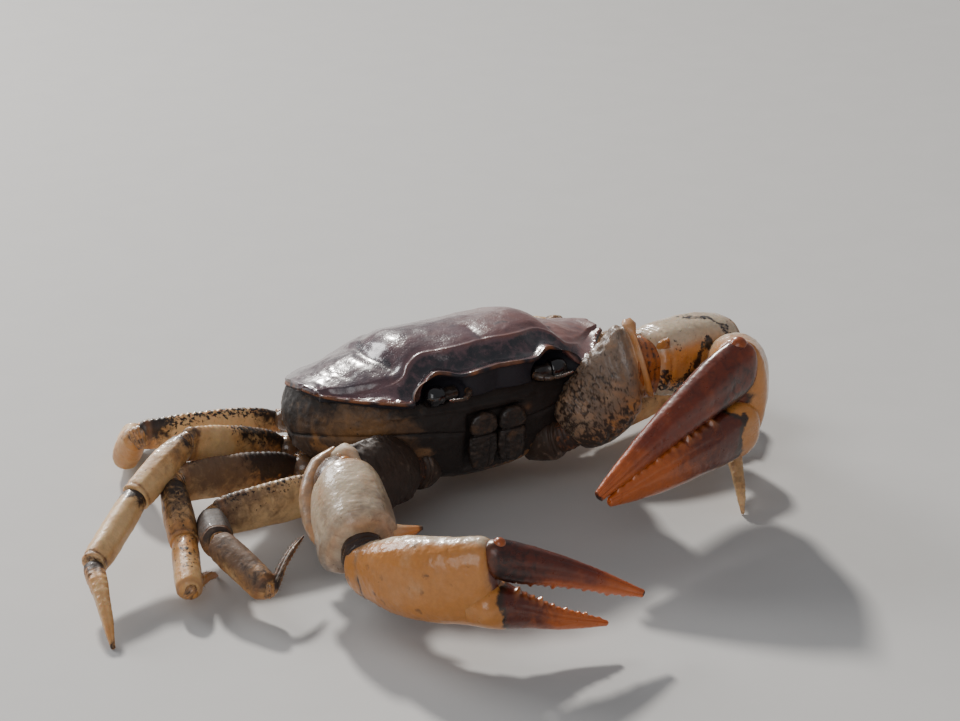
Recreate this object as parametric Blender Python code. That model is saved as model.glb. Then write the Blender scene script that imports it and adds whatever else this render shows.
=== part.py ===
"""Life-size land crab, standing on the floor as a still museum model.

The crab faces -Y, its right side is at -X and +Z is up. Lengths below are in millimetres and
angles in degrees; meshes are written in metres. The shield (carapace) is laid out in the body's
own frame, whose z = 0 is the level of the side rim, and the body is then tipped nose up. Every
limb is laid out in the room's frame, as a chain of straight segments with a sweep (forward from
straight out to the side) and a lift (above the horizontal). At the end the whole crab is shifted
so that the middle of its box stands over the origin.
"""

import math

import bmesh
import bpy
from mathutils import Matrix, Vector

MM = 0.001

# Driving dimensions of the body.
CARAPACE_WIDTH = 50.0
RIM_HEIGHT = 20.5  # level of the side rim above the floor
NOSE_UP = 5.5  # pitch of the body
BODY_DEPTH = 16.4  # from the side rim down to the breastplate
CREST_HEIGHT = 4.4  # sharp crest behind the front, above the side rim
DOME_RISE = 2.0  # the back rises this much above the crest
SHELL_LIP = 1.2  # thickness of the shield at its rim

# Fits between neighbouring pieces.
GAP = 0.3  # clear space between two pieces that meet
SOCKET_CLEARANCE = 0.35  # space round a hip in its socket
JOINT_ALLOWANCE = 0.35  # each of two leg segments draws back this much more from their joint
FOOT_FLAT = 0.18  # a foot is cut off this far above the end of its tip

# Sections of the limbs.
LEG_SIDES = 8
CLAW_SIDES = 12
EYE_RADIUS = 1.55
FEELER_RADIUS = 0.3

# The front rim of the shield from the middle to the crab's left side, in the body's frame. The
# other side mirrors it.
FRONT_RIM = (
    ("middle of the front", (0.0, -16.7, 1.5)),
    ("lobe of the front", (3.4, -17.4, 1.3)),
    ("inner corner of the orbit", (6.4, -16.8, 0.9)),
    ("roof of the orbit", (9.7, -15.3, 2.3)),
    ("outer slope of the orbit", (12.3, -15.8, 0.9)),
    ("outer corner of the orbit", (14.0, -16.7, -1.1)),
    ("shoulder", (16.8, -15.4, -0.9)),
    ("front quarter", (19.9, -12.0, -0.4)),
    ("before the side tooth", (22.4, -8.9, 0.2)),
    ("side tooth", (24.2, -7.4, 0.8)),
    ("behind the side tooth", (24.2, -6.0, 0.7)),
    ("widest point", (CARAPACE_WIDTH / 2, -2.0, 0.9)),
)
# The back rim, from the same middle line to the same widest point.
BACK_RIM = (
    ("middle of the back", (0.0, 19.3, -4.2)),
    ("edge over the tail", (5.0, 19.2, -4.2)),
    ("back corner", (9.5, 18.6, -4.1)),
    ("hind quarter", (14.4, 16.2, -3.5)),
    ("hind side", (19.0, 12.2, -2.4)),
    ("side over the third leg", (22.8, 7.0, -1.0)),
    ("widest point", (CARAPACE_WIDTH / 2, -2.0, 0.9)),
)
# Where the crest lies between the front rim (0) and the back rim (1), and how high it stands
# above the side rim, from the middle of the shield to its side tooth.
CREST_PLACE = 0.115
CREST_END = 0.90  # share of the half width where the crest has run out into the rim

# Length of each segment of the limbs: thigh (merus), wrist (carpus), hand (propodus) and toe
# (dactyl).
LEG_LENGTHS = {
    "leg1": (22.0, 9.8, 12.6, 12.4),
    "leg2": (22.3, 11.2, 12.0, 12.6),
    "leg3": (21.8, 12.3, 14.8, 14.8),
    "leg4": (22.8, 8.6, 11.8, 11.2),
}
# Half heights of the same four segments.
LEG_HALF_HEIGHTS = {
    "leg1": (3.0, 2.4, 2.2, 0.9),
    "leg2": (2.9, 2.25, 2.0, 0.95),
    "leg3": (2.6, 2.25, 2.05, 1.3),
    "leg4": (2.35, 2.1, 2.1, 0.95),
}
# Where the hip leaves the breastplate, and where the thigh starts, on the crab's left side.
HIPS = {
    "leg1": ((13.6, -7.2, 8.0), (21.6, -9.8, 6.8)),
    "leg2": ((14.0, -0.6, 7.2), (24.3, -0.1, 6.6)),
    "leg3": ((13.2, 5.2, 7.2), (23.0, 7.3, 6.8)),
    "leg4": ((11.6, 10.6, 8.4), (20.4, 13.0, 8.9)),
}
REACH_FLOOR = None  # the lift of a toe that is set by the floor
# Sweep and lift of thigh, wrist, hand and toe.
LEG_POSES = {
    "leg1_right": ((-3, -1), (70, 5), (99, -14), (-140, 15)),
    "leg2_right": ((5, 9), (73, -24), (67, -12), (-134, REACH_FLOOR)),
    "leg3_right": ((17, 20), (27, -19), (40, -16), (76, REACH_FLOOR)),
    "leg4_right": ((-11, 2), (-97, -44), (-121, -5), (-152, REACH_FLOOR)),
    "leg1_left": ((-5, 10), (93, 3), (129, -23), (117, REACH_FLOOR)),
    "leg2_left": ((-18, 3), (42, 0), (124, -12), (139, REACH_FLOOR)),
    "leg3_left": ((-31, 0), (6, -10), (88, -4), (109, REACH_FLOOR)),
    "leg4_left": ((-37, -3), (-60, -24), (-122, -6), (-126, REACH_FLOOR)),
}

# The claws, in the room's frame: the arm's three joints, where the hand starts and ends, how far
# it bows, the tips of the two fingers and the way the wrist's spine points. Sizes are halves:
# (height, width) of the arm and the wrist, and those of the hand at its start, middle and end.
CLAWS = {
    "right": {
        "arm": ((-8.6, -10.6, 8.0), (-13.6, -13.6, 9.0), (-30.2, -21.2, 14.4)),
        "wrist_end": (-33.6, -35.6, 9.0),
        "palm_start": (-34.6, -37.2, 8.0),
        "palm_end": (-24.2, -55.2, 11.0),
        "palm_bow": (-3.4, -2.4, 1.2),
        "thumb_tip": (-10.4, -60.6, 3.6),
        "finger_tip": (-5.2, -61.4, 6.9),
        "spine": (0.85, -0.5, 0.1),
        "arm_half": (4.6, 4.1),
        "wrist_half": (6.3, 5.9),
        "height": (4.4, 5.8, 6.2),
        "thickness": (2.9, 3.9, 3.3),
    },
    "left": {
        "arm": ((8.6, -10.6, 7.4), (12.6, -15.8, 9.4), (23.2, -21.5, 20.0)),
        "wrist_end": (40.8, -18.4, 19.3),
        "palm_start": (36.0, -24.0, 19.4),
        "palm_end": (28.2, -36.6, 19.2),
        "palm_bow": (1.2, -1.0, 0.6),
        "thumb_tip": (3.4, -40.2, 10.0),
        "finger_tip": (1.6, -40.0, 11.2),
        "spine": (-0.1, -0.72, 0.68),
        "arm_half": (6.2, 4.5),
        "wrist_half": (5.6, 5.4),
        "height": (4.6, 6.6, 9.2),
        "thickness": (3.6, 4.6, 4.2),
    },
}
SPINE_LENGTH = 2.4  # how far the wrist's spine stands out
# Profiles of the arm and the wrist: place along the piece, share of the half sizes.
ARM = ((0.0, 0.54), (0.15, 0.72), (0.45, 0.88), (0.8, 1.0), (0.95, 0.96), (1.0, 0.72))
CLAW_WRIST = ((0.0, 0.5), (0.16, 0.84), (0.42, 1.0), (0.7, 0.98), (0.9, 0.8), (1.0, 0.56))
CLAW_HIP = ((0.0, 0.85), (0.5, 1.0), (1.0, 0.8))
CLAW_HIP_RADIUS = 3.2
# Where the two fingers spring from, above and below the middle of the hand's end, as shares of
# its half height.
FINGER_ROOT = 0.54
THUMB_ROOT = 0.52
THUMB = ((0.0, 0.48), (0.12, 0.45), (0.3, 0.37), (0.55, 0.28), (0.8, 0.19), (1.0, 0.07))
FINGER = ((0.0, 0.42), (0.1, 0.47), (0.27, 0.43), (0.5, 0.34), (0.75, 0.23), (1.0, 0.07))


# ---------------------------------------------------------------- small helpers


def clear_scene():
    """Removes every object, so that a rerun starts from nothing."""
    for old in list(bpy.data.objects):
        bpy.data.objects.remove(old, do_unlink=True)


def make_material(name, colour, roughness, metallic=0.0):
    """A plain Principled material in the part's own colour."""
    material = bpy.data.materials.new(name)
    material.use_nodes = True
    shader = material.node_tree.nodes["Principled BSDF"]
    shader.inputs["Base Color"].default_value = (*colour, 1.0)
    shader.inputs["Roughness"].default_value = roughness
    shader.inputs["Metallic"].default_value = metallic
    material.diffuse_color = (*colour, 1.0)
    return material


def mirrored(point, side):
    """A place given for the crab's left, on the side asked for."""
    x, y, z = point
    return Vector((x if side == "left" else -x, y, z))


def body_to_room(point):
    """A point of the body's frame, after the body is tipped nose up over the floor."""
    x, y, z = point
    pitch = math.radians(NOSE_UP)
    return Vector(
        (
            x,
            y * math.cos(pitch) + z * math.sin(pitch),
            RIM_HEIGHT - y * math.sin(pitch) + z * math.cos(pitch),
        )
    )


def direction(side, sweep, lift):
    """Unit vector of a limb segment on one side of the crab."""
    out = 1.0 if side == "left" else -1.0
    flat = math.cos(math.radians(lift))
    return Vector(
        (
            out * flat * math.cos(math.radians(sweep)),
            -flat * math.sin(math.radians(sweep)),
            math.sin(math.radians(lift)),
        )
    )


def smooth_step(value):
    """0 to 1 with level ends."""
    value = min(1.0, max(0.0, value))
    return value * value * (3.0 - 2.0 * value)


def spline(points, place):
    """Catmull-Rom curve through the points; place runs from 0 to 1."""
    spans = len(points) - 1
    index = min(int(place * spans), spans - 1)
    t = place * spans - index
    p1 = Vector(points[index])
    p2 = Vector(points[index + 1])
    p0 = Vector(points[index - 1]) if index else 2 * p1 - p2
    p3 = Vector(points[index + 2]) if index + 2 <= spans else 2 * p2 - p1
    return 0.5 * (
        2 * p1
        + (p2 - p0) * t
        + (2 * p0 - 5 * p1 + 4 * p2 - p3) * t**2
        + (3 * p1 - 3 * p2 + p3 - p0) * t**3
    )


def section(centre, axis, half_height, half_width, sides, up=(0, 0, 1), power=2.3, corners=0.0):
    """A ring of points square to the axis: a rounded box, or with corners a rounded triangle."""
    axis = Vector(axis).normalized()
    across = axis.cross(Vector(up)).normalized()
    upward = across.cross(axis)
    ring = []
    for step in range(sides):
        angle = 2 * math.pi * (step + 0.5) / sides
        c = math.cos(angle)
        s = math.sin(angle)
        swell = 1.0 + corners * math.cos(3 * (angle - math.pi / 2))
        width = math.copysign(abs(c) ** (2 / power), c) * half_width * swell
        height = math.copysign(abs(s) ** (2 / power), s) * half_height * swell
        ring.append(Vector(centre) + across * width + upward * height)
    return ring


def loft(name, rings, material):
    """A closed solid through rings of equal count, with a face over each end."""
    mesh = bmesh.new()
    rows = [[mesh.verts.new(point * MM) for point in ring] for ring in rings]
    count = len(rings[0])
    for lower, upper in zip(rows, rows[1:]):
        for step in range(count):
            following = (step + 1) % count
            mesh.faces.new((lower[step], lower[following], upper[following], upper[step]))
    mesh.faces.new(list(reversed(rows[0])))
    mesh.faces.new(rows[-1])
    bmesh.ops.recalc_face_normals(mesh, faces=mesh.faces)
    return finish_object(name, mesh, material)


def finish_object(name, mesh, material):
    """Turns the bmesh into a smooth-shaded object under the crab's empty."""
    data = bpy.data.meshes.new(name)
    mesh.to_mesh(data)
    mesh.free()
    data.shade_smooth()
    data.set_sharp_from_angle(angle=math.radians(40))
    data.materials.append(material)
    piece = bpy.data.objects.new(name, data)
    bpy.context.collection.objects.link(piece)
    piece.parent = bpy.data.objects["crab"]
    return piece


def carve(piece, cutter):
    """Cuts one solid out of another with a live Boolean; the cutter stays as a hidden guide."""
    cutter.hide_render = True
    cutter.display_type = "WIRE"
    cut = piece.modifiers.new(cutter.name, "BOOLEAN")
    cut.operation = "DIFFERENCE"
    cut.object = cutter


def grow(piece, name, amount):
    """A copy of a solid that is larger all round by the amount, for use as a cutter."""
    mesh = bmesh.new()
    mesh.from_mesh(piece.data)
    mesh.normal_update()
    moved = [vertex.co + vertex.normal * amount * MM for vertex in mesh.verts]
    for vertex, place in zip(mesh.verts, moved):
        vertex.co = place
    return finish_object(name, mesh, piece.data.materials[0])


# ---------------------------------------------------------------- the shield


def rim_point(rim, share):
    """A point on a rim, for a share of the half width from -1 (right) to 1 (left)."""
    points = [point for _, point in rim]
    widths = [point[0] / points[-1][0] for point in points]
    reach = abs(share)
    index = max(i for i, width in enumerate(widths[:-1]) if width <= reach + 1e-9)
    span = widths[index + 1] - widths[index]
    place = (index + (reach - widths[index]) / span) / (len(points) - 1) if span else 1.0
    point = spline(points, min(place, 1.0))
    point.x = math.copysign(reach * points[-1][0], share) if share else 0.0
    return point


def shield_point(share, back):
    """A point on the top of the shield; share is across, back runs from front rim to back rim."""
    front = rim_point(FRONT_RIM, share)
    rear = rim_point(BACK_RIM, share)
    point = front.lerp(rear, back)
    fade = 1.0 - smooth_step(abs(share) / CREST_END) ** 1.5
    crest = front.z + (CREST_HEIGHT - front.z) * fade
    if back <= CREST_PLACE:
        point.z = front.z + (crest - front.z) * (back / CREST_PLACE) ** 0.75
        return point
    rest = (back - CREST_PLACE) / (1.0 - CREST_PLACE)
    side_fall = 1.0 - abs(share) ** 2.6
    swell = DOME_RISE * side_fall + 2.2 * side_fall
    point.z = crest + (rear.z - crest) * rest**1.7 + swell * math.sin(math.pi * rest**0.8) * 0.75
    return point


def shield_floor(y):
    """Level of the underside of the shield, which is straight from side to side."""
    front, middle, rear = (-17.0, -2.3), (0.0, -0.9), (20.0, -5.6)
    if y < middle[0]:
        share = (y - front[0]) / (middle[0] - front[0])
        return front[1] + (middle[1] - front[1]) * share
    share = (y - middle[0]) / (rear[0] - middle[0])
    return middle[1] + (rear[1] - middle[1]) * share


def build_carapace(material):
    """The shield: a ruled dome between its front and back rims, with the crest across it."""
    shares = [point[0] / FRONT_RIM[-1][1][0] for _, point in FRONT_RIM]
    columns = [-share for share in reversed(shares[1:])] + shares
    rows = [0.0, 0.06, CREST_PLACE, 0.16, 0.24, 0.34, 0.46, 0.58, 0.7, 0.82, 0.92, 1.0]
    mesh = bmesh.new()
    top = []
    under = []
    for back in rows:
        top_row = []
        under_row = []
        for share in columns:
            point = shield_point(share, back)
            low = point.copy()
            low.z = min(shield_floor(point.y), point.z - SHELL_LIP)
            top_row.append(body_to_room(point))
            under_row.append(body_to_room(low))
        top.append(top_row)
        under.append(under_row)
    return shell_between(mesh, top, under, "carapace", material)


def shell_between(mesh, top, under, name, material):
    """A closed solid between two sheets whose side columns each shrink to one point."""
    last = len(top[0]) - 1

    def sheet(rows):
        left = mesh.verts.new(rows[0][0] * MM)
        right = mesh.verts.new(rows[0][last] * MM)
        return [
            [left] + [mesh.verts.new(point * MM) for point in row[1:last]] + [right] for row in rows
        ]

    upper = sheet(top)
    lower = sheet(under)
    for grid in (upper, lower):
        for front_row, back_row in zip(grid, grid[1:]):
            for step in range(last):
                corners = [front_row[step], front_row[step + 1], back_row[step + 1], back_row[step]]
                unique = list(dict.fromkeys(corners))
                mesh.faces.new(unique)
    for row, reverse in ((0, False), (-1, True)):
        for step in range(last):
            wall = [upper[row][step], upper[row][step + 1], lower[row][step + 1], lower[row][step]]
            mesh.faces.new(reversed(wall) if reverse else wall)
    bmesh.ops.recalc_face_normals(mesh, faces=mesh.faces)
    return finish_object(name, mesh, material)


# ---------------------------------------------------------------- the trunk below the shield

# Levels of the trunk in the body's frame: half width, front and back ends, and height. The first
# level lies under the shield and follows it.
TRUNK_LEVELS = (
    (24.0, -15.0, 18.0, None),
    (25.2, -15.4, 18.2, -5.4),
    (25.0, -15.0, 16.8, -8.4),
    (23.4, -14.2, 14.4, -11.0),
    (18.6, -13.4, 12.0, -13.4),
    (12.4, -12.4, 10.0, -15.4),
    (7.6, -10.6, 7.4, -BODY_DEPTH),
)
TRUNK_SIDES = 36
TRUNK_POWER = 2.7


def trunk_ring(half_width, front, rear, height):
    """A closed outline at one level: a rounded box, rounder behind than in front."""
    ring = []
    for step in range(TRUNK_SIDES):
        angle = 2 * math.pi * step / TRUNK_SIDES
        c = math.cos(angle)
        s = math.sin(angle)
        power = TRUNK_POWER if s < 0 else 2.2
        x = math.copysign(abs(c) ** (2 / power), c) * half_width
        y = abs(s) ** (2 / power) * (front if s < 0 else rear)
        level = shield_floor(y) - GAP if height is None else height
        ring.append(body_to_room((x, y, level)))
    return ring


def build_trunk(material):
    """The side walls, face and breastplate as one closed solid."""
    rings = [trunk_ring(*level) for level in TRUNK_LEVELS]
    return loft("thorax", rings, material)


def build_abdomen(material):
    """The tail, folded flat under the breastplate: a long triangle that narrows forward."""
    spine = (
        ((0, 16.6, -9.6), 7.6),
        ((0, 13.6, -12.6), 7.8),
        ((0, 9.6, -15.2), 6.6),
        ((0, 5.2, -16.6), 4.8),
        ((0, 0.6, -16.9), 3.0),
        ((0, -3.4, -16.7), 1.6),
    )
    rings = []
    for index, (place, half_width) in enumerate(spine):
        before = Vector(spine[max(index - 1, 0)][0])
        after = Vector(spine[min(index + 1, len(spine) - 1)][0])
        axis = body_to_room(after) - body_to_room(before)
        rings.append(section(body_to_room(place), axis, 0.75, half_width, 8, power=3.0))
    return loft("abdomen", rings, material)


def build_mouthpart(side, material):
    """One outer jaw plate (third maxilliped): a tall flat plate beside the middle line."""
    levels = ((-5.6, 1.6), (-6.6, 2.1), (-9.0, 2.25), (-12.0, 2.2), (-14.0, 1.7))
    rings = []
    for height, half_width in levels:
        lean = -15.6 + 0.16 * (-5.6 - height)
        place = mirrored((2.55, lean, height), side)
        centre = body_to_room(place)
        rings.append(section(centre, (0, 0, -1), 0.8, half_width, 8, up=(0, -1, 0), power=3.2))
    return loft(f"maxilliped_{side}", rings, material)


def build_eye(side, material):
    """Eye on its short stalk, folded outward along the orbit."""
    base = body_to_room(mirrored((6.9, -15.0, -1.5), side))
    tip = body_to_room(mirrored((12.2, -15.9, -1.3), side))
    axis = tip - base
    profile = ((0.0, 0.62), (0.3, 0.6), (0.5, 0.85), (0.68, 1.0), (0.85, 0.85), (1.0, 0.35))
    rings = [
        section(base + axis * place, axis, EYE_RADIUS * size, EYE_RADIUS * size, 10, power=2.0)
        for place, size in profile
    ]
    return loft(f"eye_{side}", rings, material)


def build_feeler(side, material):
    """Short second antenna beside the front, bowed outward."""
    points = ((5.6, -17.0, -1.0), (6.6, -18.6, -1.3), (8.4, -19.8, -1.2), (10.6, -20.2, -0.8))
    route = [body_to_room(mirrored(point, side)) for point in points]
    rings = []
    for step in range(6):
        place = step / 5
        ahead = spline(route, min(place + 0.05, 1.0))
        behind = spline(route, max(place - 0.05, 0.0))
        radius = FEELER_RADIUS * (1.25 - 0.3 * place)
        rings.append(section(spline(route, place), ahead - behind, radius, radius, 6, power=2.0))
    return loft(f"antenna_{side}", rings, material)


def orbit_cutter(side, material):
    """The hollow of one orbit, open to the front."""
    centre = body_to_room(mirrored((10.0, -16.4, -1.2), side))
    mesh = bmesh.new()
    bmesh.ops.create_uvsphere(mesh, u_segments=14, v_segments=8, radius=1.0)
    sizes = Vector((4.6, 3.6, 2.9)) * MM
    tilt = Matrix.Rotation(math.radians(-NOSE_UP), 4, "X")
    placed = Matrix.Translation(centre * MM) @ tilt @ Matrix.Diagonal((*sizes, 1.0))
    bmesh.ops.transform(mesh, matrix=placed, verts=mesh.verts)
    return finish_object(f"orbit_cutter_{side}", mesh, material)


# ---------------------------------------------------------------- limbs

# Profiles of the limb segments: place along the segment, share of the half height, share of the
# half height that the section is moved up.
THIGH = ((0.0, 0.5, 0.0), (0.1, 0.74, 0.0), (0.35, 0.97, 0.1), (0.7, 1.0, 0.1), (0.93, 0.86, 0.0))
THIGH += ((1.0, 0.62, -0.1),)
WRIST = ((0.0, 0.5, 0.0), (0.2, 0.8, 0.1), (0.6, 1.0, 0.1), (0.9, 0.95, 0.0), (1.0, 0.7, 0.0))
HAND = ((0.0, 0.62, 0.0), (0.12, 0.9, 0.0), (0.5, 1.0, 0.0), (0.85, 0.86, 0.0), (1.0, 0.62, 0.0))
TOE = ((0.0, 0.7, 0.0), (0.12, 1.0, 0.0), (0.45, 0.86, 0.0), (0.8, 0.55, 0.0), (1.0, 0.26, 0.0))
PROFILES = (THIGH, WRIST, HAND, TOE)
SEGMENT_NAMES = ("merus", "carpus", "propodus", "dactyl")
FLATTENING = (0.6, 0.72, 0.62, 0.78)  # thickness as a share of height
TOE_BOW = 0.9


def fold_relief(before, after, radius):
    """How far two segments draw back from a joint, so that their rounded ends stay clear."""
    fold = before.angle(after)
    spread = radius * (1.0 / max(math.cos(fold / 2), 0.22) - 1.0)
    return GAP / 2 + JOINT_ALLOWANCE + spread


def segment(name, start, end, half_height, profile, flattening, material, bow=0.0, sides=LEG_SIDES):
    """One straight or slightly bowed limb segment."""
    axis = end - start
    across = axis.cross(Vector((0, 0, 1))).normalized()
    upward = across.cross(axis).normalized()
    rings = []
    for place, size, rise in profile:
        lift = rise * half_height + bow * math.sin(math.pi * place)
        centre = start + axis * place + upward * lift
        height = half_height * size
        rings.append(section(centre, axis, height, height * flattening, sides, power=2.5))
    return loft(name, rings, material)


def leg_joints(leg, side):
    """The five joints of a walking leg, from the start of its thigh to the end of its toe."""
    joints = [mirrored(HIPS[leg][1], side)]
    for length, (sweep, lift) in zip(LEG_LENGTHS[leg], LEG_POSES[f"{leg}_{side}"]):
        start = joints[-1]
        if lift is REACH_FLOOR:
            lift = -math.degrees(math.asin((start.z - FOOT_FLAT) / length))
        joints.append(start + direction(side, sweep, lift) * length)
    return joints


def flatten_foot(piece):
    """Cuts the end of a toe level with the floor."""
    for vertex in piece.data.vertices:
        vertex.co.z = max(vertex.co.z, 0.0)


def build_leg(leg, side, materials):
    """Hip, thigh, wrist, hand and toe of one walking leg, each its own solid."""
    hip_start = mirrored(HIPS[leg][0], side)
    joints = leg_joints(leg, side)
    heights = LEG_HALF_HEIGHTS[leg]
    chain = [hip_start] + joints
    axes = [(after - before).normalized() for before, after in zip(chain, chain[1:])]
    radii = [heights[0] * 0.5, heights[1] * 0.6, heights[2] * 0.65, heights[3] * 1.0]
    reliefs = [fold_relief(axes[i], axes[i + 1], radii[i]) for i in range(4)]

    hip_end = joints[0] - axes[0] * reliefs[0]
    hip_profile = ((0.0, 0.85, 0.0), (0.3, 1.0, 0.0), (0.7, 0.8, 0.0), (0.9, 0.86, 0.0), (1.0, 0.6, 0.0))
    hip = segment(
        f"{leg}_{side}_coxa", hip_start, hip_end, heights[0], hip_profile, 0.85, materials["leg"]
    )
    for index, part in enumerate(SEGMENT_NAMES):
        start = joints[index] + axes[index + 1] * reliefs[index]
        end = joints[index + 1]
        if index < 3:
            end = end - axes[index + 1] * reliefs[index + 1]
        bow = TOE_BOW if part == "dactyl" else 0.0
        piece = segment(
            f"{leg}_{side}_{part}",
            start,
            end,
            heights[index],
            PROFILES[index],
            FLATTENING[index],
            materials["toe" if part == "dactyl" else "leg"],
            bow=bow,
        )
        if part == "dactyl":
            flatten_foot(piece)
    return hip


# ---------------------------------------------------------------- claws


def arm_segment(name, start, end, half_sizes, profile, material, corners=0.0):
    """An arm piece with round ends along a profile of its half height and half width."""
    axis = end - start
    height, width = half_sizes
    rings = []
    for place, size in profile:
        centre = start + axis * place
        ring = section(centre, axis, height * size, width * size, CLAW_SIDES, corners=corners)
        rings.append(ring)
    return loft(name, rings, material)


def pull_spine(piece, towards, length):
    """Draws the point of a piece that lies farthest along a direction out into a spine."""
    along = Vector(towards).normalized()
    tip = max(piece.data.vertices, key=lambda vertex: vertex.co.dot(along))
    tip.co += along * length * MM


def build_claw(side, materials):
    """Arm, wrist, hand with fixed thumb, and moving finger; returns what is let into the trunk."""
    claw = CLAWS[side]
    shell = materials["claw"]
    root, elbow, arm_end = (Vector(point) for point in claw["arm"])
    wrist_end = Vector(claw["wrist_end"])
    root_axis = (elbow - root).normalized()
    arm_axis = (arm_end - elbow).normalized()
    wrist_axis = (wrist_end - arm_end).normalized()

    hip_half = (CLAW_HIP_RADIUS, CLAW_HIP_RADIUS)
    hip_end = elbow - root_axis * 0.95
    ischium = arm_segment(f"claw_{side}_ischium", root, hip_end, hip_half, CLAW_HIP, shell)
    start = elbow + arm_axis * 0.95
    end = arm_end - arm_axis * 2.0
    merus = arm_segment(f"claw_{side}_merus", start, end, claw["arm_half"], ARM, shell, 0.07)
    start = arm_end + wrist_axis * 0.3
    end = wrist_end - wrist_axis * 1.0
    name = f"claw_{side}_carpus"
    carpus = arm_segment(name, start, end, claw["wrist_half"], CLAW_WRIST, shell, 0.03)
    pull_spine(carpus, claw["spine"], SPINE_LENGTH)
    palm = build_hand(side, claw, materials)
    socket = grow(carpus, f"{name}_socket", SOCKET_CLEARANCE)
    carve(merus, socket)
    carve(palm, socket)
    return [ischium, merus]


def build_hand(side, claw, materials):
    """The hand, which narrows into the thumb below its fork, and the moving finger above it."""
    palm_start = Vector(claw["palm_start"])
    palm_end = Vector(claw["palm_end"])
    middle = palm_start.lerp(palm_end, 0.5) + Vector(claw["palm_bow"]) * 0.5
    route = [palm_start, middle, palm_end]
    heights = claw["height"]
    widths = claw["thickness"]
    full = heights[2]
    rings = []
    for place in (0.0, 0.1, 0.3, 0.52, 0.76, 1.0):
        axis = spline(route, min(place + 0.05, 1.0)) - spline(route, max(place - 0.05, 0.0))
        half = 0 if place < 0.5 else 1
        blend = smooth_step(place * 2 - half)
        height = heights[half] + (heights[half + 1] - heights[half]) * blend
        width = widths[half] + (widths[half + 1] - widths[half]) * blend
        size = 1.0 if place else 0.75
        centre = spline(route, place)
        ring = section(centre, axis, height * size, width * size, CLAW_SIDES, power=2.4)
        rings.append(ring)

    forward = (palm_end - spline(route, 0.95)).normalized()
    thumb_root = palm_end - Vector((0, 0, full * THUMB_ROOT)) + forward * 0.1
    sag = Vector((0, 0, -full * 0.1))
    rings += finger_rings(thumb_root, Vector(claw["thumb_tip"]), sag, forward, THUMB, full, 0.75)
    palm = loft(f"claw_{side}_palm", rings, materials["claw"])

    finger_root = palm_end + Vector((0, 0, full * FINGER_ROOT)) + forward * (GAP + 0.15)
    arch = Vector((0, 0, full * 0.08))
    rings = finger_rings(finger_root, Vector(claw["finger_tip"]), arch, forward, FINGER, full, 0.72)
    finger = loft(f"claw_{side}_dactyl", rings, materials["finger"])
    carve(palm, grow(finger, f"{finger.name}_socket", SOCKET_CLEARANCE))
    return palm


def finger_rings(root, tip, bend, forward, profile, full, flattening):
    """Rings of a finger: square to the hand at its root, turning into its own line."""
    route = [root, root.lerp(tip, 0.5) + bend, tip]
    rings = []
    for place, size in profile:
        own = spline(route, min(place + 0.05, 1.0)) - spline(route, max(place - 0.05, 0.0))
        axis = forward.lerp(own.normalized(), min(1.0, place * 2.5))
        height = full * size
        ring = section(spline(route, place), axis, height, height * flattening, CLAW_SIDES)
        rings.append(ring)
    return rings


# ---------------------------------------------------------------- assembly


def centre_over_origin(crab):
    """Moves the crab so that the middle of its box stands over the origin."""
    bpy.context.view_layer.update()
    pieces = [piece for piece in crab.children if not piece.hide_render]
    places = [piece.matrix_world @ vertex.co for piece in pieces for vertex in piece.data.vertices]
    for axis in range(2):
        low = min(place[axis] for place in places)
        high = max(place[axis] for place in places)
        crab.location[axis] = -0.5 * (low + high)


def build_crab():
    """Builds every piece of the crab."""
    clear_scene()
    crab = bpy.data.objects.new("crab", None)
    bpy.context.collection.objects.link(crab)
    materials = {
        "shield": make_material("shield", (0.10, 0.045, 0.05), 0.25),
        "trunk": make_material("trunk", (0.11, 0.06, 0.03), 0.4),
        "leg": make_material("leg", (0.55, 0.36, 0.16), 0.45),
        "toe": make_material("toe", (0.50, 0.28, 0.12), 0.5),
        "claw": make_material("claw", (0.62, 0.45, 0.26), 0.35),
        "finger": make_material("finger", (0.30, 0.05, 0.015), 0.3),
        "eye": make_material("eye", (0.01, 0.01, 0.012), 0.1),
    }
    carapace = build_carapace(materials["shield"])
    trunk = build_trunk(materials["trunk"])
    inset = [build_abdomen(materials["trunk"])]
    for side in ("right", "left"):
        inset.append(build_mouthpart(side, materials["trunk"]))
        build_eye(side, materials["eye"])
        build_feeler(side, materials["toe"])
        orbit = orbit_cutter(side, materials["trunk"])
        carve(carapace, orbit)
        carve(trunk, orbit)
        inset += build_claw(side, materials)
        for leg in LEG_LENGTHS:
            inset.append(build_leg(leg, side, materials))
    for piece in inset:
        carve(trunk, grow(piece, f"{piece.name}_socket", SOCKET_CLEARANCE))
    centre_over_origin(crab)


build_crab()
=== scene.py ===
"""Looks of the life-size land crab: finely modelled shell plates, joint skins and bristles.

Shapes are laid out in millimetres in the same room frame as the solids (the crab faces -Y, its
right side is at -X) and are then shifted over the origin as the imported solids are.
"""

import math

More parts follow.
